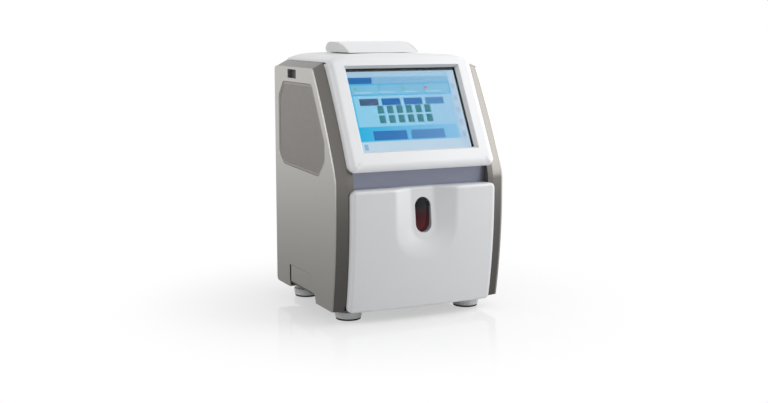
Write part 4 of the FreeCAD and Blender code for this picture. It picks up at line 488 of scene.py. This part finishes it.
def cover_outline(inset):
    """Front view of the cover: points and outward directions, once round from the middle of the
    foot, and where each stretch starts: foot, corner, side, the shoulder below and above the
    frame's top, turn, and the crown beside and over the printer."""
    half, foot = cover_half - inset, cover_foot + inset
    flat = (crown_end[0], crown_end[1] - inset)
    turn = (crown_turn[0] - inset / 2, crown_turn[1] - inset)
    crown_c, crown_r = circle_through((-flat[0], flat[1]), (0, crown_top - inset), flat)
    turn_c, turn_r = circle_through(flat, turn, (half, crown_side - inset))
    shoulder_r, corner_r = shoulder_round - inset, corner_round - inset
    x = half - shoulder_r
    rise = math.sqrt((turn_r - shoulder_r) ** 2 - (x - turn_c[0]) ** 2)
    shoulder_c = np.array([x, turn_c[1] + rise])
    lean = bearing(*shoulder_c - turn_c)
    seat_sine = (frame_top - (shoulder_c[1] - inset * 0.4)) / shoulder_round
    seat = math.degrees(math.asin(min(0.9, seat_sine)))
    flat_lean = bearing(*flat - turn_c)
    crown_lean = [bearing(at, math.sqrt(crown_r ** 2 - at ** 2))
                  for at in (flat[0], opening_half, 0.01)]

    def line(start, end, away, count):
        points = np.linspace(start, end, count)
        return points, np.tile(away, (count, 1))
    parts = [
        line((0, foot), (half - corner_r, foot), (0.0, -1.0), 24),
        arc((half - corner_r, foot + corner_r), corner_r, -90, 0, 13),
        line((half, foot + corner_r), (half, shoulder_c[1]), (1.0, 0.0), 30),
        arc(shoulder_c, shoulder_r, 0, seat, 5),
        arc(shoulder_c, shoulder_r, seat, lean, 6),
        arc(turn_c, turn_r, lean, flat_lean, 14),
        arc(crown_c, crown_r, *crown_lean[:2], 7),
        arc(crown_c, crown_r, *crown_lean[1:], 12),
    ]
    points, away = (np.vstack([*(p[k][:-1] for p in parts), parts[-1][k][-1:]]) for k in (0, 1))
    starts = np.cumsum([0] + [len(p[0]) - 1 for p in parts])
    points[0, 0] = points[-1, 0] = 0.0
    flip = np.array([-1.0, 1.0])
    points = np.vstack([points, points[-2:0:-1] * flip])
    away = np.vstack([away, away[-2:0:-1] * flip])
    return points, away, starts


outline = cover_outline(0.0)[0]
print("outline columns", len(outline), "highest point", round(outline[:, 1].max(), 2))

# %% [markdown]
# The columns of the outline are matched with the window's rectangle by their length along it,
# corner to corner, so the face between them is clean quads. Behind the rounding, the columns
# below the frames' shoulders stop just ahead of the frames, and those above run to the rear.

# %% White upper cover
window_half, window_foot, window_head = 105.2, 41.4, 195.3
cover_wall, edge_round, bevel_depth, cover_rear, skirt_foot = 3.0, 10.0, 7.35, 135.5, 428.0
foot_back, foot_high, side_gap = -135.3, 300.0, 5.1
front_rows, opening_rows, rear_rows = 8, 9, 3


def cover_skin(inset):
    """Rows of the cover from the window outwards and over the edge, at one depth in the wall."""
    flat, away, starts = cover_outline(inset)
    count = len(flat)
    length = lengths(np.vstack([outline, outline[:1]]))
    low, high = starts[1] + 6, starts[4]
    marks = length[[0, low, high, count - high, count - low, count]]

    def window(margin, depth):
        half, foot, head = window_half + margin, window_foot - margin, window_head + margin * 0.5
        x = np.interp(length[:-1], marks, [0, half, half, -half, -half, 0])
        along = np.interp(length[:-1], marks, [foot, foot, head, head, foot, foot])
        return on_face(x, along, depth)
    normal = row_of(away[:, 0], 0.0, away[:, 1])
    face_y = front_y + (flat[:, 1] - cover_foot) * tilt + inset * slope_length
    edge = row_of(flat[:, 0], face_y, flat[:, 1])
    radius = edge_round - inset
    lean = normal @ out_face
    centre = edge - radius * (out_face + normal) / (1 + lean)[:, None]
    angle = np.arccos(lean)[:, None]
    bevel = ((0.0, bevel_depth), (4.8, 0.5), (5.2, 0.0), (5.8, 0.0))
    if inset:
        bevel = ((9.2, bevel_depth), (9.2, inset + 0.4), (9.2, inset + 0.2), (9.2, inset))
    rows = [window(margin, depth) for margin, depth in bevel]
    rim = centre + radius * out_face
    rows += [rows[-1] * (1 - s) + rim * s for s in (0.33, 0.67, 0.94)]
    for s in np.linspace(0, 1, 11):
        blend = (np.sin((1 - s) * angle) * out_face + np.sin(s * angle) * normal) / np.sin(angle)
        rows.append(centre + radius * blend)
    return np.array(rows), starts


def cover_walls(rolled, inset):
    """Rows that carry the rounding's edge straight back: side and foot, then the top."""
    x, y, z = rolled[-1].T
    at_foot = (np.abs(outline[:, 0]) < frame_inner) & (outline[:, 1] < foot_high)
    stop = np.where(at_foot, foot_back, side_line(outline[:, 1]) - side_gap)
    side = [row_of(x, y + (stop - y) * s, z) for s in np.linspace(0, 1, 4)]
    seat = np.maximum(z, frame_top)
    rear = cover_rear - inset
    levels = [y + (opening_front - y) * s for s in np.linspace(0, 1, front_rows)]
    levels += [*np.linspace(opening_front, opening_rear, opening_rows + 1)[1:],
               *np.linspace(opening_rear, rear - 2.0, rear_rows + 1)[1:]]
    top = [row_of(x, level, z if i == 0 else seat) for i, level in enumerate(levels)]
    skirt = np.where(np.abs(x) < frame_inner, skirt_foot, frame_top + 0.01)
    top += [row_of(x, rear - back, np.maximum(seat - drop, skirt))
            for back, drop in ((0.6, 0.15), (0.15, 0.6), (0.0, 2.0))]
    return np.array(side), np.array(top + [row_of(x, rear, skirt)])


def white_cover():
    """The cover's two skins closed into one wall, and which faces are the window's bevel. Each skin
    is three grids: the face with its rounding, the side and foot, and the top."""
    skins = []
    for inset in (0.0, cover_wall):
        rolled, starts = cover_skin(inset)
        grids = (rolled, *cover_walls(rolled, inset))
        skins.append(np.vstack([grid.reshape(-1, 3) for grid in grids]))
    count = len(outline)
    faces, first = [], 0
    for number, grid in enumerate(grids):
        quads = cells(len(grid), count, True)
        row, column = quads[:, 0] // count, quads[:, 0] % count
        high = (column >= starts[4]) & (column < count - starts[4])
        over = (column >= starts[7]) & (column < count - starts[7])
        opening = over & (row >= front_rows - 1) & (row < front_rows - 1 + opening_rows)
        keep = [np.ones(len(quads), bool), ~high, high & ~opening][number]
        faces.append(quads[keep] + first)
        first += len(grid) * count
    faces = np.vstack(faces)[:, ::-1]
    points, walls = closed_wall(*skins, faces)
    # which marks the window's bevel faces, which take the greyer tint of painted shade
    which = np.zeros(len(walls), int)
    which[:len(faces)] = faces.max(axis=1) < 2 * count
    return points, walls, which


points, faces, which = white_cover()
# the bevel faces get painted shade: a greyer copy of the white cover plastic
make("upper_cover_skin", points, faces, "abs_white_satin abs_window_bevel",
     "cabinet", "upper_cover", 40.0, which)
print("upper cover faces", len(faces))

# %% [markdown]
# The front door is a thin bulging panel with a soft U-shaped hollow round the sample port.
# The face's depth and the hollow's leaning floor are mixed by a weight that falls from one in the
# middle to nothing at the hollow's lip. Rings run from the oval port to the rounded outline, then
# over the edge to the rim. The grid is the wall's inner side, and a Solidify modifier adds the
# wall's 2.6 mm outwards. The door then ends 1.5 mm short of the CAD door at each side, so the dark
# frames show beside it as broadly as on the real instrument.

# %% Front door
door_half, door_low, door_high, door_wall = 133.8, 23.1, 226.6, 2.6
door_proud, door_crown = 20.0, 5.0
port_z, port_half, port_tall, port_gap = 181.0, 14.6, 29.6, 0.5
floor_half, lip_width, round_end_z = 23.0, 35.0, 162.0
floor_low_y, floor_low_z, floor_lean = -154.5, 139.0, 11.5 / 91.6
top_half, top_back, rim_set = 127.0, -128.5, 5.5


def soft_ramp(t, soft):
    """Nought below 0, one above 1, straight between, and rounded over soft at both ends."""
    def eased(v):
        return np.where(v < -soft, 0.0, np.where(v > soft, v, (v + soft) ** 2 / (4 * soft)))
    return eased(t) - eased(t - 1)


def door_face(x, z):
    """Depth of the door's surface: the bulging face, and the hollow's floor near the port."""
    face = side_line(z) - door_proud + door_crown * (x / door_half) ** 2
    floor = floor_low_y + floor_lean * (z - floor_low_z)
    reach = np.hypot(x, np.minimum(z - round_end_z, 0.0))
    weight = 1.0 - soft_ramp((reach - floor_half) / lip_width, 0.1)
    return face + np.maximum(floor - face, 0.0) * weight


def oval_ring(half_wide, half_tall, turn):
    """Where rays from the port's centre meet an upright oval with straight sides and round ends."""
    away = facing(turn)
    x, z = np.abs(away).T
    straight = half_tall - half_wide
    side = half_wide / np.maximum(x, 1e-9)
    end = straight * z + np.sqrt(np.maximum(half_wide ** 2 - (straight * x) ** 2, 0))
    reach = np.where(side * z <= straight, side, end)
    return np.array([0, port_z]) + reach[:, None] * away


def rounded_box(half, low, high, radius, count):
    """Evenly spaced outline of a box with rounded corners, once round from the middle of its right
    side, and its outward directions."""
    corners = ((half - radius, high - radius, 0), (radius - half, high - radius, 90),
               (radius - half, low + radius, 180), (half - radius, low + radius, 270))
    arcs = [arc((x, z), radius, start, start + 90, 40) for x, z, start in corners]
    middle = [[half, (low + high) / 2]]
    points = np.vstack([middle, *(points for points, _ in arcs), middle])
    away = np.vstack([[[1.0, 0.0]], *(away for _, away in arcs), [[1.0, 0.0]]])
    length = lengths(points)
    even = np.linspace(0, length[-1], count + 1)[:-1]
    return [np.stack([np.interp(even, length, values[:, k]) for k in (0, 1)], -1)
            for values in (points, away)]


def door_skin(count=440, face_rings=84, edge_rings=8):
    """Rings of the door from the port's edge over the face, round its edge and back to the rim.
    The edge is rounder at the sides than at head and foot."""
    edge, away = rounded_box(door_half, door_low, door_high, 6.5, count)
    radius = 2.6 + 2.9 * away[:, :1] ** 2
    inner_edge = edge - away * radius
    turn = np.arctan2(inner_edge[:, 1] - port_z, inner_edge[:, 0])
    hole = oval_ring(port_half + port_gap, port_tall + port_gap, turn)
    rings = []
    for s in np.linspace(0, 1, face_rings):
        share = 0.55 * s + 0.45 * s ** 2
        x, z = (hole + (inner_edge - hole) * share).T
        rings.append(row_of(x, door_face(x, z), z))
    face_end = rings[-1][:, 1]
    for turn_over in np.radians(np.linspace(0, 90, edge_rings + 1)[1:]):
        x, z = (inner_edge + away * radius * math.sin(turn_over)).T
        rings.append(row_of(x, face_end + radius[:, 0] * (1 - math.cos(turn_over)), z))
    edge_end = rings[-1][:, 1]
    x, z = edge.T
    at_top = (away[:, 1] > 0.7) & (np.abs(x) < top_half)
    back = np.where(at_top, top_back, side_line(z) - rim_set)
    rings += [row_of(x, edge_end * (1 - s) + back * s, z) for s in (0.5, 1.0)]
    return np.array(rings)


rings = door_skin()
points, faces = weld(rings.reshape(-1, 3), cells(*rings.shape[:2], True)[:, ::-1])
front_door = make("front_door_skin", points, faces, "abs_door_grey",
                  "front_door", "front_door", 45.0)
wall = front_door.modifiers.new("wall", "SOLIDIFY")
wall.thickness = door_wall * mm
wall.offset = -1.0
wall.use_even_offset = False
print("front door faces", len(faces), "deepest point", round(rings[:, :, 1].max(), 1))

# %% [markdown]
# Behind the new skin the door keeps its flanges and hinge knuckles, cut from a merged copy of the
# CAD mesh. What lies in the hollow or the top wall is left out, because the skin makes those, and
# the side flanges are drawn in to stay inside the skin.

# %% Flanges and knuckles of the door
face_back, hollow_half, hollow_low, hollow_back, top_wall_low = -149.8, 72.0, 95.0, -131.5, 223.0
flange_from, flange_gap = 125.0, 0.3


def copy_of(node, cut_y=None):
    """A merged copy of a CAD node's loose triangles, opened for editing. What lies ahead of
    cut_y, in mm, is cut away."""
    work = bmesh.new()
    work.from_mesh(nodes[node].data)
    bmesh.ops.remove_doubles(work, verts=work.verts, dist=2e-6)
    if cut_y is not None:
        bmesh.ops.bisect_plane(work, geom=[*work.verts, *work.edges, *work.faces],
                               plane_co=(0, cut_y * mm, 0), plane_no=(0, 1, 0), clear_inner=True)
    return work


def drop_faces(work, unwanted):
    """Takes the faces out of a copy whose middle, in mm, is unwanted."""
    gone = [face for face in work.faces if unwanted(*(face.calc_center_median() / mm))]
    bmesh.ops.delete(work, geom=gone, context="FACES")


def close_copy(work, name, finishes, body, replaced, sharp=32.0, move=None):
    """Turns an edited copy into an object. A move takes all its points, in metres, and returns
    them."""
    mesh = bpy.data.meshes.new(name)
    work.to_mesh(mesh)
    work.free()
    if move:
        points = np.empty(len(mesh.vertices) * 3)
        mesh.vertices.foreach_get("co", points)
        mesh.vertices.foreach_set("co", move(points.reshape(-1, 3)).reshape(-1))
        mesh.update()
    return piece_of(mesh, finishes, body, replaced, sharp)


def flanges_drawn_in(points):
    """Moves what lies at the door's sides inwards, to just inside the skin."""
    x = points[:, 0]
    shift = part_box("front_door")[1][0] - (door_half - flange_gap) * mm
    points[:, 0] = np.where(np.abs(x) > flange_from * mm, x - np.copysign(shift, x), x)
    return points


work = copy_of("front_door", face_back)
drop_faces(work, lambda x, y, z: z > top_wall_low
           or (abs(x) < hollow_half and z > hollow_low and y < hollow_back))
flanges = close_copy(work, "door_flanges", "abs_door_grey", "front_door", "front_door",
                     move=flanges_drawn_in)
print("door flange faces", len(flanges.data.polygons))

# %% [markdown]
# The lens over the port is domed both ways, like the glass of a small lamp. Its face is a sum of
# two shallow parabolas, its rim is rolled over, and a plain boss behind it carries the pin.

# %% Lens over the sample port
lens_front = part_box("sample_flap")[0][1] / mm
lens_depth, rim_round, rim_share = 6.0, 1.1, 0.94
hollow_share, hollow_depth = 0.9, 3.4
pin_z, boss_depth, boss_tall, boss_half = 204.6, 4.4, 3.0, 8.0


def port_lens(count=96):
    """Rings from the lens's middle over the dome, round the rim and into its hollow back."""
    turn = np.linspace(0, 2 * math.pi, count, endpoint=False)
    edge = oval_ring(port_half, port_tall, turn) - np.array([0, port_z])

    def ring(share, depth=None):
        """A ring at a share of the way out, on the dome unless a depth is given."""
        x, height = (edge * share).T
        dome = x ** 2 / 44 + height ** 2 / 260
        return row_of(x, lens_front + (dome if depth is None else depth), port_z + height)
    rings = [ring(share) for share in (0.02, *np.linspace(0.08, rim_share, 14))]
    dome_end = rings[-1][:, 1] - lens_front
    for roll in np.radians([20, 40, 60, 80, 90]):
        rings.append(ring(rim_share + (1 - rim_share) * math.sin(roll),
                          dome_end + rim_round * (1 - math.cos(roll))))
    rings += [ring(1.0, lens_depth), ring(hollow_share, lens_depth),
              ring(hollow_share, lens_depth - hollow_depth)]
    return np.array(rings)


rings = port_lens()
count = rings.shape[1]
faces = cells(len(rings), count, True)[:, ::-1].tolist()
faces += [list(range(count)), list(range((len(rings) - 1) * count, len(rings) * count))[::-1]]
make("sample_flap_lens", rings.reshape(-1, 3), faces, "smoked_polycarbonate_lens",
     "sample_flap", "sample_flap", 50.0)
work = copy_of("sample_flap", lens_front + boss_depth)
drop_faces(work, lambda x, y, z: abs(z - pin_z) > boss_tall or abs(x) > boss_half)
boss = close_copy(work, "sample_flap_boss", "abs_black_satin", "sample_flap", "sample_flap")
print("lens faces", len(faces), "boss faces", len(boss.data.polygons))

# %% [markdown]
# The display shows a plain, generic page of bars, buttons and tiles, all without words. Each patch
# is a quad: where it starts and ends across and down the window, as shares of it, and its colour,
# or two from left to right. Later patches lie a little nearer to the glass. The colours glow at
# strength one, so they show as they are written.

# %% Picture on the display
patches = [
    (0.0, 0.985, 0.03, 1.0, "#8CC3E2", "#A2CAE4"),
    (0.0, 0.92, 0.03, 0.09, "#A9C8E0", "#A5C8E2"),
    (0.0, 0.92, 0.10, 0.178, "#7FB1D4", "#88B8DA"),
    (0.005, 0.215, 0.104, 0.178, "#2B6BAE", "#2F6DAF"),
    (0.0, 0.92, 0.178, 0.328, "#4FAEDD", "#6DB6E0"),
    (0.016, 0.255, 0.197, 0.312, "#78BCE0", "#7DBDDF"),
    (0.272, 0.465, 0.197, 0.312, "#7ABADC", "#7EBBDB"),
    (0.482, 0.67, 0.197, 0.312, "#7EBADB", "#82BBDB"),
    (0.687, 0.905, 0.197, 0.312, "#84BDDD", "#88BFDE"),
    (0.0, 0.92, 0.328, 0.70, "#8CCDEA", "#9EC7E4"),
    (0.0, 0.022, 0.328, 0.70, "#4AB6E2", "#6CC2E6"),
    (0.066, 0.232, 0.363, 0.445, "#465F82"),
    (0.262, 0.430, 0.363, 0.445, "#2A6CB2"),
    (0.463, 0.630, 0.363, 0.445, "#3C77B6"),
    (0.660, 0.828, 0.363, 0.445, "#558BC0"),
    (0.0, 0.90, 0.70, 0.87, "#2FB2E2", "#88BFE4"),
    (0.126, 0.425, 0.752, 0.862, "#3575B8", "#3B79BA"),
    (0.463, 0.768, 0.752, 0.862, "#4F86C0", "#5C90C5"),
    (0.0, 0.92, 0.88, 1.0, "#C1D7E8", "#BBD3E6"),
    (0.025, 0.059, 0.905, 0.975, "#89B8DC"),
    (0.92, 0.985, 0.03, 1.0, "#B2CBE2", "#BAD2E8"),
]
patches += [(0.21 + 0.0854 * k, 0.265 + 0.0854 * k, top, top + 0.094, "#3A7D88", "#47899A")
            for top in (0.451, 0.567) for k in range(6)]
patches += [(0.932, 0.963, 0.2 + 0.15 * k, 0.26 + 0.15 * k, "#A2B8D2", "#A8BED8") for k in range(5)]
patches += [(0.04 + 0.213 * k, 0.065 + 0.213 * k, 0.225, 0.255, c)
            for k, c in enumerate(("#6FBE9A", "#7AA9C8", "#6FBE9A", "#C98A92"))]
patches += [(0.04 + 0.213 * k, 0.19 + 0.213 * k, 0.28, 0.292, "#A9D2E6") for k in range(4)]

film_depth, film_step = 10.36, 0.004
pane_half, pane_foot, pane_head, pane_depths = 110.7, 35.9, 202.3, (7.4, 10.0)


def display_picture():
    """The patches' quads on the tilted face."""
    table = np.array([patch[:4] for patch in patches])
    x = window_half * (2 * table[:, [0, 0, 1, 1]] - 1)
    along = window_head - (window_head - window_foot) * table[:, [3, 2, 2, 3]]
    depth = film_depth - film_step * np.arange(len(patches))[:, None]
    return on_face(x, along, depth).reshape(-1, 3)


def glowing_display():
    """Light from the panel itself: the patch colours as emission, with faint rows 2 mm apart."""
    tree, shader, place = open_finish("lit_display_film", {
        "Base Color": linear("#0B1016"), "Specular IOR Level": 0.0, "Emission Strength": 1.0})
    written = add(tree, "VertexColor", {"layer_name": "patch"})
    rows = add(tree, "TexWave", {"bands_direction": "Z"},
               {"Scale": 1 / (6 * mm), "Distortion": 0.0}, {"Vector": place})
    shown = add(tree, "Mix", {"data_type": "RGBA", "blend_type": "MULTIPLY"}, {0: 1.0},
                {6: written.outputs[0], 7: ranged(tree, rows.outputs[1], 0.97, 1.0)})
    tree.links.new(shown.outputs[2], shader.inputs["Emission Color"])


def glass_pane(columns=51, rows=37):
    """Two skins of a flat pane on the tilted face, closed into one wall."""
    across, along = np.meshgrid(np.linspace(-pane_half, pane_half, columns),
                                np.linspace(pane_foot, pane_head, rows))
    skins = [on_face(across, along, depth).reshape(-1, 3) for depth in pane_depths]
    return closed_wall(*skins, cells(rows, columns)[:, ::-1])


make("touch_glass_pane", *glass_pane(), "coated_float_glass", "cabinet", "touch_glass")
glowing_display()
quads = np.arange(len(patches) * 4).reshape(-1, 4)[:, ::-1]
picture = make("display_picture", display_picture(), quads, "lit_display_film", "cabinet")
colours = np.array([[linear(patch[k]) for k in (4, 4, -1, -1)] for patch in patches])
layer = picture.data.color_attributes.new("patch", "FLOAT_COLOR", "POINT")
layer.data.foreach_set("color", colours.reshape(-1))
print("patches", len(patches))

# %% [markdown]
# The side grilles are steel sheets with fine round holes in a honeycomb order. Drilling thousands
# of holes with booleans would be slow, so one hexagonal cell with a hole is laid down at every
# place of the honeycomb at once, and the cells near the edge hide behind a plain rim.

# %% Perforated side grilles
vent_corners = np.array([(-46.0, 400.5), (92.0, 400.5), (116.0, 372.5), (116.0, 268.0),
                         (92.0, 251.0), (-74.0, 246.0), (-102.0, 274.0), (-102.0, 306.0)])
vent_round, vent_pitch, vent_z, hole_radius, hole_depth = 14.0, 2.2, 320.0, 0.56, 1.2
field_margin, field_depth, sheet_x = 3.4, 0.5, 159.2
rim_profile = ((0.35, 2.0), (0.35, 0.3), (0.65, 0.0), (4.6, 0.0), (4.8, 0.1), (4.8, 0.9))


def rounded_outline(corners, radius, count=7):
    """A clockwise polygon whose corners become arcs, with outward directions along it."""
    points, away = [], []
    for a, b, c in zip(np.roll(corners, 1, axis=0), corners, np.roll(corners, -1, axis=0)):
        u, v = unit(a - b), unit(c - b)
        half = math.acos(u @ v) / 2
        centre = b + unit(u + v) * radius / math.sin(half)
        start, end = (b + side * radius / math.tan(half) - centre for side in (u, v))
        turns = np.linspace(0, 1, count)[:, None]
        between = unit(start * (1 - turns) + end * turns)
        points.append(centre + radius * between)
        away.append(between)
    return np.vstack(points), np.vstack(away)


def honeycomb(sides=6):
    """Hexagons with holes at every place of a honeycomb inside the vent's outline: a flat ring and
    a hole wall each, as across (y), up (z) and depth behind the sheet."""
    row = vent_pitch * math.sqrt(3) / 2
    j, i = np.meshgrid(np.arange(-50, 60), np.arange(-60, 70), indexing="ij")
    across = i * vent_pitch + (j % 2) * vent_pitch / 2
    centres = np.stack([across, vent_z + j * row], -1).reshape(-1, 2)
    edge = np.roll(vent_corners, -1, axis=0) - vent_corners
    away = unit(edge[:, ::-1] * (-1, 1))
    inside = (((centres[:, None] - vent_corners) * away).sum(-1) < -field_margin).all(axis=1)
    centres = centres[inside]
    spoke = facing(np.radians(30 + 60 * np.arange(sides)))
    outer = centres[:, None] + spoke * vent_pitch / math.sqrt(3)
    inner = centres[:, None] + spoke * hole_radius
    flat = np.stack([outer, inner, inner], 1)
    depth = np.array([0.0, 0.0, hole_depth])[:, None]
    points = row_of(flat[..., 0], flat[..., 1], depth).reshape(-1, 3)
    first = 3 * sides * np.arange(len(centres))[:, None, None]
    return points, (cells(3, sides, True) + first).reshape(-1, 4)


def vent_sheet():
    """The honeycomb and its rim, laid in the left panel's opening."""
    edge, away = rounded_outline(vent_corners, vent_round)
    field, field_faces = honeycomb()
    field[:, 2] += field_depth
    rim = np.array([row_of(*(edge - away * reach).T, depth) for reach, depth in rim_profile])
    rim_faces = cells(*rim.shape[:2], True)
    faces = np.vstack([field_faces, rim_faces + len(field)])
    return weld(np.vstack([field, rim.reshape(-1, 3)]), faces)


flat, vent_faces = vent_sheet()
for side, name in ((-1, "vent_sheet_left"), (1, "vent_sheet_right")):
    points = row_of(side * (sheet_x - flat[:, 2]), flat[:, 0], flat[:, 1])
    faces = vent_faces if side < 0 else vent_faces[:, ::-1]
    make(name, points, faces, "perforated_steel_bronze", "cabinet", "vent_grilles", 25.0)
print("vent faces", len(vent_faces))

# %% [markdown]
# Pieces that are plain in shape, such as panels, frames and the drawer, only lack the small
# rounding that every real edge has. A Bevel modifier gives it to a merged copy of the CAD mesh.

# %% Eased edges
eased_nodes = ((0.7, "left_side_panel right_side_panel"), (0.9, "left_frame right_frame"),
               (0.6, "side_drawer"), (0.3, "panel_latch latch_pocket"), (0.6, "rear_cover"),
               (0.8, "fluid_pack qc_pack sensor_cartridge printer_cover printer_end_caps"))
riding = {"side_drawer": "side_drawer", "panel_latch": "panel_latch",
          "printer_cover": "printer_cover", "printer_end_caps": "printer_cover"}


def eased(node, body, width):
    """A copy of a CAD node, in its own finish, whose sharp edges are rounded to a width in mm."""
    work = copy_of(node)
    bmesh.ops.dissolve_limit(
        work, angle_limit=math.radians(0.6), verts=work.verts, edges=work.edges)
    piece = close_copy(work, node + "_eased", worn[node], body, node, 30.0)
    bevel = piece.modifiers.new("eased edges", "BEVEL")
    bevel.width = width * mm
    bevel.segments = 3
    bevel.limit_method = "ANGLE"
    bevel.angle_limit = math.radians(30.0)
    bevel.harden_normals = True
    print(node, len(piece.data.polygons), "faces before the rounding")


for width, names in eased_nodes:
    for node in names.split():
        eased(node, riding.get(node, "cabinet"), width)

# %% [markdown]
# Each foot is turned: a wide disc with a rounded edge under a narrow neck, on a black rubber pad.
# A profile carried once round its axis gives it, and the four stand in one mesh.

# %% Feet
foot_places = [(x, y) for x in (-115.1, 115.1) for y in (-95.0, 99.0)]
foot_radius, foot_round, foot_shoulder, axis_radius = 23.5, 1.6, 13.4, 0.01


def turned(profile, places, count=64):
    """A profile of (radius, height) in mm carried round upright axes at (x, y) places."""
    ring = facing(np.linspace(0, 2 * math.pi, count, endpoint=False))
    profile = np.asarray(profile, float)
    points, faces = [], []
    for number, place in enumerate(places):
        flat = np.asarray(place) + profile[:, None, :1] * ring
        points.append(row_of(flat[..., 0], flat[..., 1], profile[:, 1:]).reshape(-1, 3))
        faces.append(cells(len(profile), count, True) + number * len(profile) * count)
    return np.vstack(points), np.vstack(faces)


curve, _ = arc((foot_radius - foot_round, foot_shoulder), foot_round, 90, 10, 5)
foot_profile = [(axis_radius, 28.0), (11.5, 28.0), (11.5, 16.2), (12.3, 15.3), (13.5, 15.0), *curve,
                (foot_radius, 11.0), (22.2, 4.0), (21.9, 3.2), (21.4, 3.0), (axis_radius, 3.0)]
pad_profile = [(axis_radius, 3.0), (21.5, 3.0), (21.5, 0.5), (21.2, 0.15), (20.8, 0.0),
               (axis_radius, 0.0)]
for node, profile in (("feet", foot_profile), ("foot_pads", pad_profile)):
    feet = make(node + "_turned", *turned(profile, foot_places), worn[node], "cabinet", node, 40.0)
    print(node, len(feet.data.polygons), "faces")

# %% [markdown]
# The instrument stands on a pale table with a faint gloss. The table keeps the soft shadow near
# the instrument, and further out it turns into plain white light for the camera and through
# glass, so there is no horizon. Mirrors see it as a grey that grows to white far off.

# %% Table and surroundings
table_half, fade_near, fade_far, grey_near, grey_far = 6000.0, 0.1, 0.52, 0.2, 3.2


def any_ray(tree, *kinds):
    """One for a ray of any of these kinds, else nought."""
    path = add(tree, "LightPath")
    seen = path.outputs[kinds[0]]
    for kind in kinds[1:]:
        seen = add(tree, "Math", {"operation": "MAXIMUM"}, None,
                   {0: seen, 1: path.outputs[kind]}).outputs[0]
    return seen


def mixed(tree, share, first, second):
    """The first shader where the share is nought, the second where it is one."""
    return add(tree, "MixShader", None, None, {0: share, 1: first, 2: second}).outputs[0]


def pale_table():
    """Pale lacquer that fades to white light, and to a grey that grows white for mirrors."""
    tree, shader, place = open_finish(
        "pale_lacquered_table", {"Base Color": linear("#EFEFF0"), "IOR": 1.45})
    set_gloss(tree, shader, 0.05, 0.08, noise(tree, place, 80.0))
    reach = add(tree, "VectorMath", {"operation": "LENGTH"}, None, {0: place}).outputs["Value"]
    far = ranged(tree, reach, 0.48, 1.0, fade_near, fade_far, "SMOOTHSTEP")
    share = add(tree, "Math", {"operation": "MULTIPLY"}, None,
                {0: any_ray(tree, "Is Camera Ray", "Is Transmission Ray"), 1: far})
    white = add(tree, "Emission", None, {"Color": (1, 1, 1, 1), "Strength": 1.0})
    plain = mixed(tree, share.outputs[0], shader.outputs[0], white.outputs[0])
    mirrored = add(tree, "Emission", None, {"Color": (1, 1, 1, 1)},
                   {"Strength": ranged(tree, reach, 0.31, 1.0, grey_near, grey_far)})
    surface = mixed(tree, any_ray(tree, "Is Glossy Ray"), plain, mirrored.outputs[0])
    tree.links.new(surface, tree.nodes["Material Output"].inputs["Surface"])


pale_table()
corners = [(x * table_half, y * table_half, 0.0) for x, y in ((-1, -1), (1, -1), (1, 1), (-1, 1))]
table = make("table", corners, [[0, 1, 2, 3]], "pale_lacquered_table")

world = bpy.data.worlds.new("studio")
scene.world = world
world.use_nodes = True
tree = world.node_tree
surround = tree.nodes["Background"]
surround.inputs["Color"].default_value = (1, 1, 1, 1)
seen = any_ray(tree, "Is Camera Ray", "Is Glossy Ray", "Is Transmission Ray")
tree.links.new(ranged(tree, seen, 0.40, 1.0), surround.inputs["Strength"])
print("table and world ready")

# %% [markdown]
# Two large soft lamps light the instrument. The main one hangs to the right, above and a little
# in front, so the top and the tilted face are brightest and the right frame mirrors it. A weaker
# one to the left lights the cover's left rounding and the metal side, but hardly the door.

# %% Lamps
middle_of_body = Vector((0, 0, 0.25))


def softbox(name, place, size, watts):
    """A square area lamp at a place, turned to the body's middle, in metres."""
    data = bpy.data.lights.new(name, "AREA")
    data.shape = "SQUARE"
    data.size = size
    data.energy = watts
    lamp = bpy.data.objects.new(name, data)
    lamp.location = place
    lamp.rotation_euler = (middle_of_body - Vector(place)).to_track_quat("-Z", "Y").to_euler()
    scene.collection.objects.link(lamp)


softbox("key_lamp", (1.76, -0.7, 1.35), 2.0, 46.0)
softbox("fill_lamp", (-2.3, -0.2, 1.5), 1.2, 14.0)
